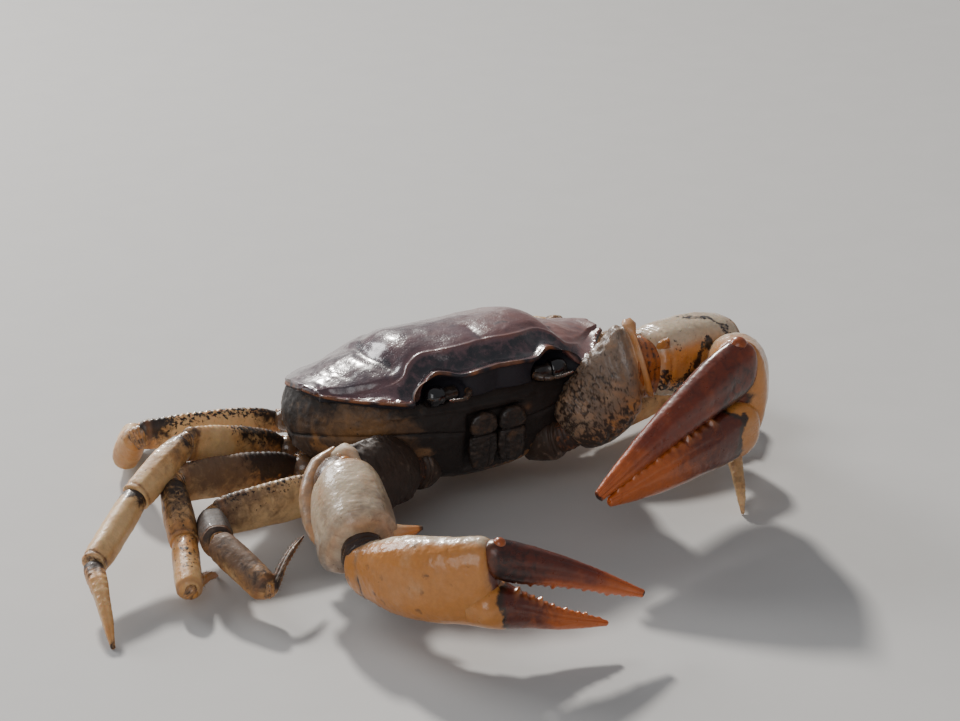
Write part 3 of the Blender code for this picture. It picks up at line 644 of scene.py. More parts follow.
def build_shield():
    """The shield: domed plate with its crest, hollow front band, beaded lip and grooves."""
    base, v, share, fade, t, on_top, on_lip, length = shield_form()
    x, y = base[..., 0], base[..., 1]
    neck = groove(base, CERVICAL, 1.15)
    folds = 0.5 * groove(base, GASTRIC, 0.6) + 0.6 * groove(base, HEART, 0.7)
    split = groove(base, FRONT_SPLIT, 0.7)
    back = smooth(CREST_PLACE * 1.02, CREST_PLACE * 1.5, v)
    crest_edge = bell(v - CREST_PLACE * 1.03, 0.008) * fade
    hollow = np.sin(math.pi * t) ** 1.2 * (v < CREST_PLACE) * smooth(0.1, 0.6, fade)
    side_rim = smooth(0.5, 0.62, share) * smooth(0.0, 0.006, v) * smooth(0.055, 0.02, v)
    swollen = (
        2.8 * bell(np.hypot(np.abs(x) - 18.0, 0.8 * (y + 0.5)), 8.0)
        + 0.4 * bell(np.hypot(np.abs(x) - 9.2, y + 5.6), 4.6)
    ) * (1 - 0.55 * smooth(6, 14, x))
    height = (
        0.2 * crest_edge - (0.3 * neck + 0.12 * folds) * back - 0.2 * split * smooth(0.6, 1.0, t)
        - 0.5 * hollow + 0.7 * noise(base * (1, 0.6, 0.6), 3.4, 5, 2) * hollow
        + 0.3 * side_rim * grains(base, 0.95, 41, 0.62)
        + 0.055 * grains(base, 1.15, 3, 0.5) * smooth(-0.1, 0.5, noise(base, 7.0, 8, 2))
        + 0.36 * noise(base, 7.5, 2, 3) * back + 0.05 * noise(base, 1.1, 9, 2) + 0.5 * swollen * back
    )
    height = np.where(on_top, height * smooth(0.0, 2.5, length), 0.05 * noise(base, 1.0, 12, 2))

    band = on_top * smooth(1.04, 0.86, t + (v > CREST_PLACE)) * smooth(0.12, 0.5, fade)
    rim_top = smooth(0.032, 0.008, v)
    flow = noise(base * (0.35, 1.0, 1.0), 1.6, 22, 3)
    # Off the top, below the lip, the shield is painted grey and near black: painted shade under the plate.
    masks = paint(
        warm=0.2 + 0.5 * smooth(-8, 16, x) + 0.15 * crest_edge + 0.3 * flow - 0.6 * band + 0.5 * rim_top,
        dusk=np.where(on_top, 0.28 + 0.35 * flow + 0.3 * smooth(4, -16, x) * back + 0.25 * split, 0.7),
        dark=np.where(
            on_top,
            # The darker hollow front band under the crest and the darker grooves are painted shade.
            0.12 + 0.52 * band * (1 - 0.75 * rim_top) + (0.4 * neck + 0.25 * folds) * back
            + 0.4 * bell(np.hypot(x - 6, y + 8.5), 3.0) * smooth(-0.2, 0.5, flow),
            1.0,
        ),
        speck=on_top * (0.10 + 0.25 * noise(base, 3.0, 31, 2)),
        edge=(on_top * rim_top * 0.3 + on_lip * 0.75 + 0.12 * crest_edge)
        * smooth(0.0, 1.0, 0.5 + noise(base, 1.4, 6, 2)),
        dull=np.where(
            on_top,
            0.2 + 0.45 * smooth(-2, 14, x) * back - 0.4 * band
            - 0.3 * bell(np.hypot(x + 15.5, y + 4.5), 6.0),
            1.0,
        ),
    )
    make("carapace_shell", [(body_to_room(raise_by(base, height)), masks)], "shield", "carapace")


# ---------------------------------------------------------------- the trunk


def hip_sockets(room):
    """Collars and hollows where the legs leave the trunk."""
    height = 0.0
    for sign in (-1, 1):
        for leg, ends in HIPS.items():
            first, last = np.array(ends) * (sign, 1, 1)
            axis = unit(last - first)
            far = (room - first) @ axis
            away = np.linalg.norm(room - first - far[..., None] * axis, axis=-1) - LEG_HALF_HEIGHTS[leg][0]
            height = height + smooth(0.0, 1.5, far) * (
                0.55 * bell(away - 1.15, 0.55) - 1.1 * smooth(0.7, 0.1, away)
            )
    return height


def build_trunk():
    """Side walls, face and breastplate, with hollows for eyes, jaws and hips."""
    level = np.concatenate([np.linspace(0, 1, 50), np.linspace(1, 6, 141)[1:]])
    made = through(np.arange(7), np.array(TRUNK_LEVELS), level)
    angle = np.linspace(0, 2 * math.pi, 450, endpoint=False)
    c, s = np.cos(angle), np.sin(angle)
    power = np.where(s < 0, 2.7, 2.2)
    t = level[:, None]
    x = np.sign(c) * np.abs(c) ** (2 / power) * made[:, :1]
    y = np.abs(s) ** (2 / power) * np.where(s < 0, made[:, 1:2], made[:, 2:3])
    top = shield_floor(y) - 0.06
    z = np.where(t < 1, top + (-5.4 - top) * t, made[:, 3:])
    base = orbit_push(np.stack([x, y, z], axis=-1))

    front = smooth(-4, -11, y)
    jaws = smooth(5.3, 4.6, np.abs(x)) * front * smooth(-5.0, -5.8, z) * smooth(-15.2, -14.2, z)
    below_eye = bell(t - 0.62, 0.09) * front * smooth(5.0, 6.2, np.abs(x)) * smooth(17.5, 16, np.abs(x))
    seam = bell(t - 1.75 - 0.35 * np.sin(y * 0.22) - 0.25 * np.cos(x * 0.2), 0.09)
    seam = seam * smooth(4.2, 6.5, np.abs(x) + np.maximum(y, 0))
    belly = smooth(4.2, 5.0, t)
    steps = np.cos((y + 0.22 * np.abs(x)) * 2 * math.pi / 4.6)
    height = (
        -0.55 * jaws + 0.16 * below_eye * (0.45 + 0.55 * grains(base, 1.0, 3, 0.7)) - 0.3 * seam
        + 0.09 * grains(base, 1.25, 17, 0.55) * (1 - belly)
        + 0.4 * noise(base, 5.5, 4, 3) * (1 - 0.6 * belly)
        - 0.4 * smooth(0.86, 1.0, steps) * belly * smooth(-9, -6, y)
        + 0.25 * smooth(7.6, 4.8, np.abs(x)) * front * bell(z + 4.4, 0.5)
        + 0.06 * noise(base, 0.9, 8, 2) + hip_sockets(body_to_room(base))
    )
    points = raise_by(base, height * smooth(0.0, 0.06, t))

    blotch = noise(base, 5.0, 44, 3)
    flank = smooth(-9, -14, x) * smooth(-17, -13, y) * smooth(3, -3, y)
    spot = bell(np.linalg.norm((base - (-19.6, -9.4, -6.0)) * (0.6, 0.7, 1.0), axis=-1), 3.2)
    patch = 1.25 * spot * (0.7 + 0.3 * smooth(-0.3, 0.2, blotch))
    patch = np.clip(patch + flank * bell(t - 1.7, 0.9) * smooth(0.0, 0.3, blotch), 0, 1)
    pale_edge = smooth(2.3, 3.2, t) * smooth(5.4, 4.6, t) * front * smooth(0, 8, x)
    stripe = bell(z + 10.2, 0.8) * smooth(-6, -12, x) * front
    cracks = smooth(0.16, 0.0, np.abs(noise(base, 3.6, 71, 3)))
    dot = bell(np.linalg.norm(base - (5.6, -15.6, -6.4), axis=-1), 0.55)
    behind = smooth(2, 10, y)
    masks = paint(
        warm=0.25 + 0.8 * patch + 0.4 * pale_edge + 0.9 * dot + 0.35 * belly + 0.3 * blotch,
        dusk=0.85 - 0.6 * patch - 0.7 * pale_edge - 0.55 * stripe - 0.55 * belly - 0.3 * behind
        + 0.35 * blotch,
        # dark: the strip just under the shield, the face and the jaw hollows are darkened as painted shade.
        dark=0.6 + 0.3 * smooth(1.3, 0.6, t) + 0.55 * front * smooth(-14, -8, x) - 0.9 * patch
        - 0.25 * flank - 0.55 * pale_edge - 0.42 * stripe - 0.5 * belly - 0.25 * behind + 0.9 * jaws
        - dot + 0.5 * seam + 0.55 * cracks * pale_edge + 0.25 * blotch,
        speck=0.35 + 0.3 * blotch, edge=0.5 * dot, dull=0.75 - 0.5 * belly,
    )
    make("thorax_wall", [(body_to_room(points), masks)], "trunk", "thorax")


def build_abdomen():
    """The folded tail: seven plates under the breastplate, narrowing to the jaws."""
    line = ((16.6, -9.6), (13.6, -12.6), (9.6, -15.2), (5.2, -16.6), (0.6, -16.9), (-3.4, -16.7))
    middles = body_to_room([(0, y, z) for y, z in line])
    widths = (7.6, 7.8, 6.6, 4.8, 3.0, 1.6)
    grid, place, angle = sweep(along(middles, 0.8, widths), 170, 110, 3.0, (0.5, 0.9))
    joint = np.abs((place * 7) % 1.0 - 0.5) * 2
    height = -0.34 * smooth(0.8, 1.0, joint) + 0.2 * smooth(0.75, 0.55, joint) * np.abs(np.cos(angle)) ** 8
    height = height + 0.05 * noise(grid, 0.9, 5, 2) + 0.1 * noise(grid, 3.0, 6, 2)
    masks = paint(
        warm=0.45 + 0.2 * noise(grid, 3.0, 7, 2), dusk=0.25 + 0.3 * noise(grid, 2.0, 9, 2),
        dark=0.6 * smooth(0.75, 1.0, joint) + 0.1, speck=0.3, dull=0.3,
    )
    make("abdomen_plates", [(raise_by(grid, height), masks)], "trunk", "abdomen")


def build_mouthpart(sign, side):
    """Outer jaw plate: a long plate with its groove, and the shorter plate above it."""
    levels = ((-5.3, 1.3), (-6.4, 2.0), (-8.0, 2.25), (-8.7, 2.1), (-9.4, 2.3), (-12.0, 2.25), (-14.2, 1.6))
    stations = [
        (body_to_room((2.5 * sign, -15.9 + 0.16 * (-5.6 - z), z)), -UP, 0.8, width) for z, width in levels
    ]
    grid, place, angle = sweep(stations, 130, 72, 2.6, (0.7, 0.7), up=np.array((0.0, -1.0, 0.0)))
    split = bell(place - 0.38, 0.018)
    line = streak(angle, 9, 90 - 24 * sign) * smooth(0.42, 0.5, place)
    height = -0.4 * split - 0.28 * line + 0.1 * grains(grid, 0.8, 4) + 0.08 * noise(grid, 1.2, 3, 2)
    masks = paint(
        warm=0.35, dusk=0.85 + 0.2 * noise(grid, 1.8, 8, 2), speck=0.3, dull=0.3,
        # dark: the plates are painted dark, darker in their split and groove: painted shade deep under the
        # face.
        dark=0.72 + 0.3 * split + 0.3 * line - 0.1 * np.sin(angle),
    )
    make(f"jaw_plate_{side}", [(raise_by(grid, height), masks)], "trunk", f"maxilliped_{side}")


def build_eye(sign, side):
    """Stalk with a swollen, faceted cornea at its end."""
    base, tip = body_to_room(np.array(((6.6, -15.0, -1.5), (12.3, -15.9, -1.2))) * (sign, 1, 1))
    profile = (
        (0.0, 0.7), (0.2, 0.66), (0.38, 0.62), (0.46, 0.72), (0.5, 0.9), (0.62, 1.0), (0.78, 0.98),
        (0.9, 0.8), (1.0, 0.5),
    )
    stations = straight(base, tip, profile, EYE_RADIUS, EYE_RADIUS)
    grid, place, _ = sweep(stations, 120, 96, 2.0, (0.4, 0.7))
    eye = smooth(0.47, 0.5, place)
    height = -0.1 * bell(place - 0.475, 0.02) + 0.012 * grains(grid, 0.16, 4) * eye
    height = height + 0.04 * noise(grid, 0.6, 3, 2) * (1 - eye)
    # The stalk is painted dark as well as the cornea: painted shade in the orbit.
    masks = paint(warm=1 - eye, dusk=0.9 * (1 - eye), dark=0.45 + eye, dull=0.5 * (1 - eye))
    make(f"eyestalk_{side}", [(raise_by(grid, height), masks)], "eye", f"eye_{side}")


def build_feeler(sign, side):
    """Short second antenna: three stout joints, then a ringed whip."""
    knots = np.array(((5.6, -17.0, -1.0), (6.6, -18.6, -1.3), (8.4, -19.8, -1.2), (10.6, -20.2, -0.8)))
    places = np.linspace(0, 1, 14)
    route = body_to_room(curve(knots * (sign, 1, 1), places))
    sizes = np.interp(places, (0, 0.1, 0.28, 0.32, 0.5, 0.54, 1), (0.5, 0.6, 0.5, 0.42, 0.38, 0.28, 0.16))
    grid, place, _ = sweep(along(route, sizes, sizes), 150, 18, 2.0, (0.2, 0.1))
    rings = np.cos(place * 2 * math.pi * 26) * smooth(0.5, 0.56, place)
    height = 0.03 * rings - 0.1 * (bell(place - 0.3, 0.012) + bell(place - 0.52, 0.012))
    masks = paint(warm=0.9, dusk=0.9, dark=0.62 + 0.2 * rings, speck=0.3)
    make(f"feeler_{side}", [(raise_by(grid, height), masks)], "toe", f"antenna_{side}")


# ---------------------------------------------------------------- legs

# Place, size and, where there is one, rise along each segment from the hip to the toe.
PROFILES = {
    "coxa": ((0.0, 0.85), (0.3, 1.0), (0.62, 0.8), (0.7, 0.72), (0.76, 0.82), (0.92, 0.86), (1.0, 0.66)),
    "merus": ((0.0, 0.55), (0.04, 0.68), (0.1, 0.82, 0.02), (0.35, 1.02, 0.1), (0.7, 1.02, 0.1),
              (0.9, 0.96, 0.03), (1.0, 0.92)),
    "carpus": ((0.0, 0.84), (0.3, 0.98, 0.06), (0.7, 1.04, 0.05), (1.0, 0.96)),
    "propodus": ((0.0, 0.92), (0.1, 1.0), (0.45, 1.04), (0.8, 1.0), (1.0, 0.94)),
    "dactyl": ((0.0, 0.95), (0.08, 1.06), (0.4, 0.88), (0.78, 0.56), (1.0, 0.24)),
}
FLATTENING = {"coxa": 0.85, "merus": 0.6, "carpus": 0.95, "propodus": 0.95, "dactyl": 0.95}
TOE_BOW = 1.1
TOE_SIZES = {"leg1_right": 0.72, "leg2_right": 0.85, "leg1_left": 1.35, "leg3_right": 1.1}
# Markings along each leg's segments from its hip end to its far end: how orange, how grey, how
# dark and how speckled. On the two front right legs much of the grey and dark is painted shade.
PLAIN_MARKS = {
    "coxa": ((0.5, 0.6), (0.6, 0.5), (0.55, 0.45), (0.5, 0.5)),
    "merus": ((0.5, 0.4, 0.3), (0.6, 0.4, 0.45), (0.75, 0.5, 0.2, 0.25), (0.9, 0.8, 0.6)),
    "carpus": ((0.5, 0.4), (0.6, 0.6), (0.45, 0.3), (0.5, 0.4)),
    "propodus": ((0.4, 0.3), (0.35, 0.3), (0.2, 0.12, 0.2), (0.35, 0.2)),
    "dactyl": ((0.6, 0.5, 0.8), (0.2, 0.1, 0.2), (0.3, 0.05, 0.1, 0.5), (0.2, 0.1)),
}
LEG_MARKS = {
    "leg4_right": {
        "coxa": ((1.0, 1.0), (0.0, 0.1), (0.15, 0.35), (0.4, 0.5)),
        "merus": ((0.75, 0.3, 0.15, 0.15, 0.35, 0.8), (0.3, 0.0, 0.0, 0.0, 0.1, 0.4),
                  (0.95, 0.62, 0.16, 0.1, 0.12, 0.22, 0.8, 0.75), (1.0, 0.85, 0.7, 0.8, 1.0, 1.0)),
        "carpus": ((0.7, 0.5), (0.3, 0.2), (0.4, 0.2), (0.6, 0.2)),
        "propodus": ((0.1, 0.1), (0.0, 0.0), (0.9, 0.0, 0.0, 0.0, 0.0), (0.1, 0.0)),
    },
    "leg3_right": {
        "merus": ((0.9, 0.8, 0.5, 0.0, 0.6), (0.5, 0.3, 0.3, 0.0, 0.0, 0.5),
                  (0.85, 0.6, 0.55, 0.55, 0.0, 0.0, 0.6), (1.0, 1.0, 1.0, 0.1, 0.3)),
        "carpus": ((0.6, 0.3, 0.2), (0.6, 0.25, 0.2), (0.75, 0.15, 0.0, 0.0, 0.2), (0.3, 0.1)),
        "propodus": ((0.5, 0.15, 0.1, 0.4), (0.5, 0.1, 0.05, 0.3),
                     (1.0, 0.25, 0.0, 0.0, 0.0, 0.5), (0.1, 0.0)),
        "dactyl": ((1.0, 0.5, 0.35, 0.7), (0.6, 0.0, 0.0, 0.0),
                   (0.85, 0.35, 0.0, 0.0, 0.0, 0.25), (0.1, 0.0)),
    },
    # The grey, dark root of this leg is partly painted shade.
    "leg2_right": {
        "merus": ((0.95, 0.95, 0.5, 0.3, 0.4), (0.5, 0.5, 0.9, 0.85, 0.6),
                  (1.0, 1.0, 0.95, 0.45, 0.12, 0.1, 0.3), (0.9, 0.7, 0.2, 0.2, 0.5)),
        "carpus": ((0.3, 0.6, 0.7), (0.4, 0.6, 0.3), (0.75, 0.45, 0.2), (0.6, 0.3)),
        "propodus": ((0.8, 0.75, 0.4, 0.5), (0.15, 0.0, 0.0), (0.3, 0.1, 0.15, 0.1, 0.0), (0.45, 0.5, 0.2)),
        "dactyl": ((0.8, 0.7, 0.9), (0.2, 0.0), (0.3, 0.1, 0.3), (0.2, 0.1)),
    },
    # This leg is painted grey and dark along its whole length: partly painted shade.
    "leg1_right": {
        "merus": ((0.25, 0.1, 0.05, 0.1), (0.5, 0.35, 0.5, 0.8),
                  (0.7, 0.25, 0.1, 0.1, 0.3), (0.9, 0.55, 0.5, 0.8)),
        "carpus": ((0.8, 0.7), (0.9, 0.9), (0.95, 0.85, 0.6), (0.4, 0.3)),
        "propodus": ((0.4, 0.5, 0.7), (0.9, 0.8, 0.6), (0.35, 0.3, 0.45), (0.3, 0.3)),
        "dactyl": ((0.8, 0.6), (0.9, 0.7), (0.6, 0.4, 0.5), (0.2, 0.1)),
    },
    "leg1_left": {"dactyl": ((0.15, 0.1, 0.3), (0.35, 0.3), (0.1, 0.0, 0.1), (0.2, 0.1))},
}


def leg_joints(leg, sign, side):
    """The joints of a walking leg, from the root of its hip to the end of its toe."""
    joints = list(np.array(HIPS[leg]) * (sign, 1, 1))
    for length, (way, lift) in zip(LEG_LENGTHS[leg], LEG_POSES[f"{leg}_{side}"]):
        if lift is REACH_FLOOR:
            lift = -math.degrees(math.asin((joints[-1][2] - FOOT_FLAT) / length))
        a, b = math.radians(way), math.radians(lift)
        aim = np.array((sign * math.cos(b) * math.cos(a), -math.cos(b) * math.sin(a), math.sin(b)))
        joints.append(joints[-1] + aim * length)
    return joints


def leg_relief(part, place, angle, grid, seed):
    """Ridges, teeth, wrinkles and grooves of one leg segment, in millimetres."""
    inner = smooth(0.06, 0.16, place) * smooth(0.99, 0.9, place)
    height = 0.05 * noise(grid, 0.9, seed, 2) + 0.12 * noise(grid, 3.0, seed + 1, 2)
    if part != "dactyl":
        height -= 0.1 * bell(place - 0.93, 0.014)
    if part == "merus":
        serrations = 0.12 + 0.14 * np.abs(np.sin(place * math.pi * 24)) ** 1.5
        rugae = np.abs(np.sin((place * 46 + 1.4 * noise(grid, 2.4, seed + 5, 2)) * math.pi)) ** 5
        height += 0.2 * bell(place - 0.96, 0.03) * streak(angle, 26, 90) + inner * (
            streak(angle, 15, 90) * serrations + 0.1 * streak(angle, 12, -55, -125)
            - 0.07 * rugae * smooth(-0.2, 0.5, np.sin(angle))
        )
    elif part == "carpus":
        height += 0.12 * streak(angle, 12, 62, 118) * inner
    elif part == "propodus":
        height += inner * (
            0.1 * streak(angle, 15, 90) - 0.07 * streak(angle, 13, 48, 132) - 0.05 * streak(angle, 16, 0, 180)
        )
    elif part == "dactyl":
        spines = np.abs(np.sin(place * math.pi * 13)) ** 6 * np.abs(np.sin(2 * angle)) ** 10
        height += 0.14 * spines * smooth(0.12, 0.2, place) * smooth(0.92, 0.85, place)
        height -= 0.15 * np.abs(np.cos(2 * angle)) ** 6 * inner * (1 - 0.6 * place)
    return (height + 0.035 * grains(grid, 0.7, seed + 2, 0.5)) * (1 - 0.9 * smooth(0.975, 0.995, place))


def leg_marks(leg, side, part, place, angle, grid, seed):
    """Colour masks of one leg segment."""
    marks = LEG_MARKS.get(f"{leg}_{side}", {}).get(part, PLAIN_MARKS[part])
    warm, dusk, dark, speck = (np.interp(place, np.linspace(0, 1, len(stops)), stops) for stops in marks)
    above = smooth(-0.9, 0.8, np.sin(angle))
    blotch = noise(grid, 1.9, seed + 9, 3)
    joint = bell(place - 0.93, 0.02) * (part != "dactyl")
    tip = smooth(0.9, 0.97, place) * (part == "dactyl")
    return paint(
        warm=warm + 0.3 * blotch + 0.3 * (1 - above) * warm,
        dusk=dusk * (0.6 + 0.5 * above) + 0.25 * blotch,
        dark=dark * (0.25 + 0.9 * above) + 0.25 * joint + 0.35 * tip,
        speck=speck * (0.22 + 0.5 * above + 0.5 * streak(angle, 34, 74, 106)),
        edge=0.55 * joint,
        dull=0.2 + 0.3 * blotch + 0.6 * dusk,
    )


def membrane(before, joint, after, sizes, seed, flat=0.72, **tones):
    """Wrinkled soft skin round a joint, tucked into the pieces on both sides of it."""
    stations = []
    for share in (0.0, 0.5, 1.0):
        point = (1 - share) ** 2 * before + 2 * share * (1 - share) * joint + share**2 * after
        axis = (joint - before) * (1 - share) + (after - joint) * share
        size = sizes[0] + (sizes[1] - sizes[0]) * share
        stations.append((point, axis, size, size * flat))
    grid, place, _ = sweep(stations, 40, 40, 2.3, (0.3, 0.3))
    folds = np.cos(place * 2 * math.pi * 6 + 2.6 * noise(grid, 1.6, seed, 3))
    height = 0.035 * folds + 0.06 * noise(grid, 0.6, seed + 1, 2)
    masks = {"warm": 0.75, "dusk": 0.45 + 0.2 * folds, "dark": 0.36 - 0.2 * folds, "speck": 0.4}
    return raise_by(grid, height), paint(**(masks | tones))


def build_leg(leg, sign, side, seed):
    """One walking leg: five shell pieces and the soft skin of its joints."""
    joints = leg_joints(leg, sign, side)
    axes = [unit(b - a) for a, b in zip(joints, joints[1:])]
    halves = LEG_HALF_HEIGHTS[leg][:1] + LEG_HALF_HEIGHTS[leg]
    folds = [math.acos(np.clip(a @ b, -1, 1)) for a, b in zip(axes, axes[1:])]
    reaches = [half * share for half, share in zip(halves[1:], (0.5, 0.6, 0.65, 1.0))]
    gaps = [
        -0.1 + reach * min(1 / max(math.cos(fold / 2), 0.22) - 1, 1.4) * 0.45
        for reach, fold in zip(reaches, folds)
    ]
    gaps = [0.0, *gaps, 0.0]
    bent = [0.0, *(smooth(0.35, 1.3, fold) for fold in folds), 0.0]
    ends = []
    for index, (part, profile) in enumerate(PROFILES.items()):
        toe = part == "dactyl"
        half = halves[index] * (TOE_SIZES.get(f"{leg}_{side}", 1.0) if toe else 1.0)
        start = joints[index] + axes[index] * gaps[index]
        end = joints[index + 1] - axes[index] * gaps[index + 1]
        ends.append((start, end))
        stations = straight(start, end, profile, half, half * FLATTENING[part], bow=TOE_BOW * toe)
        caps = (0.3 + 0.35 * half * bent[index], 0.3 + 0.55 * half * bent[index + 1])
        rows, cols = (96, 56) if part in ("merus", "propodus") else (76, 52)
        grid, place, angle = sweep(stations, rows, cols, 2.5 if part == "merus" else 2.15, caps)
        number = seed + 17 * index
        height = leg_relief(part, place, angle, grid, number)
        shaped = raise_by(grid, height * smooth(0, 0.02, place))
        shaped[..., 2] = np.maximum(shaped[..., 2], 0.0)
        grids = [(shaped, leg_marks(leg, side, part, place, angle, grid, number))]
        if part == "coxa":
            knob = joints[1] + (0, -0.9, 0.5)
            grids.append(ball(knob, half * 0.72, {"dusk": 1.0, "dark": 0.35, "dull": -0.5}))
        make(f"{leg}_{side}_{part}_shell", grids, "toe" if toe else "leg", f"{leg}_{side}_{part}")
    skins = [
        membrane(
            ends[index][1] - axes[index] * 1.4, joints[index + 1], ends[index + 1][0] + axes[index + 1] * 1.2,
            (halves[index] * 0.8, halves[index + 1] * 0.8), seed + index,
        )
        for index in range(4)
    ]
    make(f"{leg}_{side}_joint_skin", skins, "leg")
    return ends, halves


# ---------------------------------------------------------------- claws

HIP = ((0, 0.85), (0.5, 1.0), (0.86, 0.95), (1, 0.8))
ARM = ((0.0, 0.54), (0.15, 0.74), (0.45, 0.9), (0.8, 1.0), (0.95, 1.0), (1.0, 0.86))
LEFT_MOUTH_WAY = np.array((0.877, -0.385, 0.27))
# The flared mouth of an arm: how far on and how wide each ring is as it turns over and in.
CUP = ((0.7, 1.05), (1.3, 1.13), (1.55, 1.12), (1.5, 1.04), (1.0, 0.96), (-0.6, 0.88), (-1.6, 0.7))
WRISTS = {
    "right": ((0.0, 0.62), (0.12, 0.84), (0.38, 1.0), (0.68, 1.02), (0.88, 1.0), (1.0, 0.92)),
    "left": ((0.0, 0.8), (0.15, 0.92), (0.4, 1.0), (0.68, 1.0), (0.88, 0.9), (1.0, 0.8)),
}
# The flared rim of the right arm, which stands out beside the wrist from its top to its outer end.
RIM_LINE = (
    (-27.9, -17.2, 17.2), (-29.9, -17.7, 16.0), (-31.9, -18.8, 14.8), (-33.6, -20.4, 13.3),
    (-34.9, -22.3, 11.6), (-35.7, -24.6, 10.1), (-35.9, -27.0, 8.8), (-35.6, -29.5, 7.5),
)
PALM = (
    (-0.14, 0.52), (-0.06, 0.7), (0.0, 0.81), (0.06, 0.89), (0.14, 0.96), (0.3, 1.0), (0.52, 1.0),
    (0.76, 1.0), (0.93, 1.0), (1.0, 0.96),
)
FINGER_ROOT = 0.54
THUMB_ROOT = 0.52
FINGER_FLAT = 0.72
# Rise of the thumb's middle, widening of its root, and its profile.
THUMBS = {
    "right": (-0.1, 0.75, ((0.0, 0.48), (0.12, 0.44), (0.3, 0.34), (0.55, 0.24), (0.8, 0.15), (1.0, 0.06))),
    "left": (0.0, 0.1, ((0.0, 0.47), (0.12, 0.45), (0.3, 0.4), (0.55, 0.33), (0.8, 0.21), (1.0, 0.07))),
}
FINGER = ((0.0, 0.44), (0.12, 0.46), (0.3, 0.39), (0.55, 0.29), (0.8, 0.19), (1.0, 0.09))
TOOTH_SIZES = (0.75, 0.35, 0.55, 1.0, 0.4, 0.6, 0.3)
HORN = ((-0.5, 1.5), (0.0, 1.15), (0.25, 0.86), (0.6, 0.6), (0.85, 0.36), (1.0, 0.16))


def cup(stations, lift):
    """Stations of a trumpet mouth: the piece flares, turns over its rim and runs back inside."""
    middle, axis, high, wide = stations[-1]
    return stations + [
        (middle + unit(axis) * go, axis, high * size * lift, wide * size * lift) for go, size in CUP
    ]


def crust(grid, seed, rough=1.0):
    """Low lumps and fine grains of claw shell."""
    lumps = 0.16 * noise(grid, 3.4, seed, 2) + 0.04 * noise(grid, 0.8, seed + 1, 2)
    return rough * (lumps + 0.05 * grains(grid, 0.9, seed + 2, 0.5))


def horn(root, aim, length, radius, colour):
    """A pointed, slightly hooked spine on a broad foot; colour gives masks from its foot to its tip."""
    aim = unit(aim)
    stations = [
        (root + aim * length * p + UP * 0.12 * length * max(p, 0) ** 2, aim, radius * s, radius * s)
        for p, s in HORN
    ]
    grid, place, _ = sweep(stations, 40, 28, 2.0, (0.1, 0.12))
    return raise_by(grid, 0.03 * noise(grid, 0.8, 5, 2)), colour(place)


def network(grid, size, seed):
    """Thin dark veins between pale cells."""
    first = np.abs(noise(grid, size, seed, 2))
    second = np.abs(noise(grid, size * 0.55, seed + 7, 2))
    return np.clip(smooth(0.16, 0.02, first) + 0.7 * smooth(0.12, 0.02, second), 0, 1)


def side_rim(seed):
    """The flared rim beside the right wrist."""
    places = np.linspace(0, 1, 24)
    widths = np.interp(places, (0, 0.2, 0.5, 0.85, 1), (0.3, 1.5, 1.4, 1.0, 0.3))
    stations = along(curve(RIM_LINE, places), 1.1 + 0.5 * widths, widths)
    grid, _, angle = sweep(stations, 110, 40, 2.2, (0.3, 0.3), up=CAMERA_WAY)
    # The dark line along the rim's inner side is a painted shadow line.
    masks = paint(
        warm=0.55 + 0.6 * (streak(angle, 45, 150) + streak(angle, 30, 190)),
        dusk=0.4 + 0.35 * noise(grid, 2.0, 7, 3), dark=0.75 * streak(angle, 26, 170), speck=0.2, dull=0.3,
    )
    return raise_by(grid, crust(grid, seed, 0.7)), masks


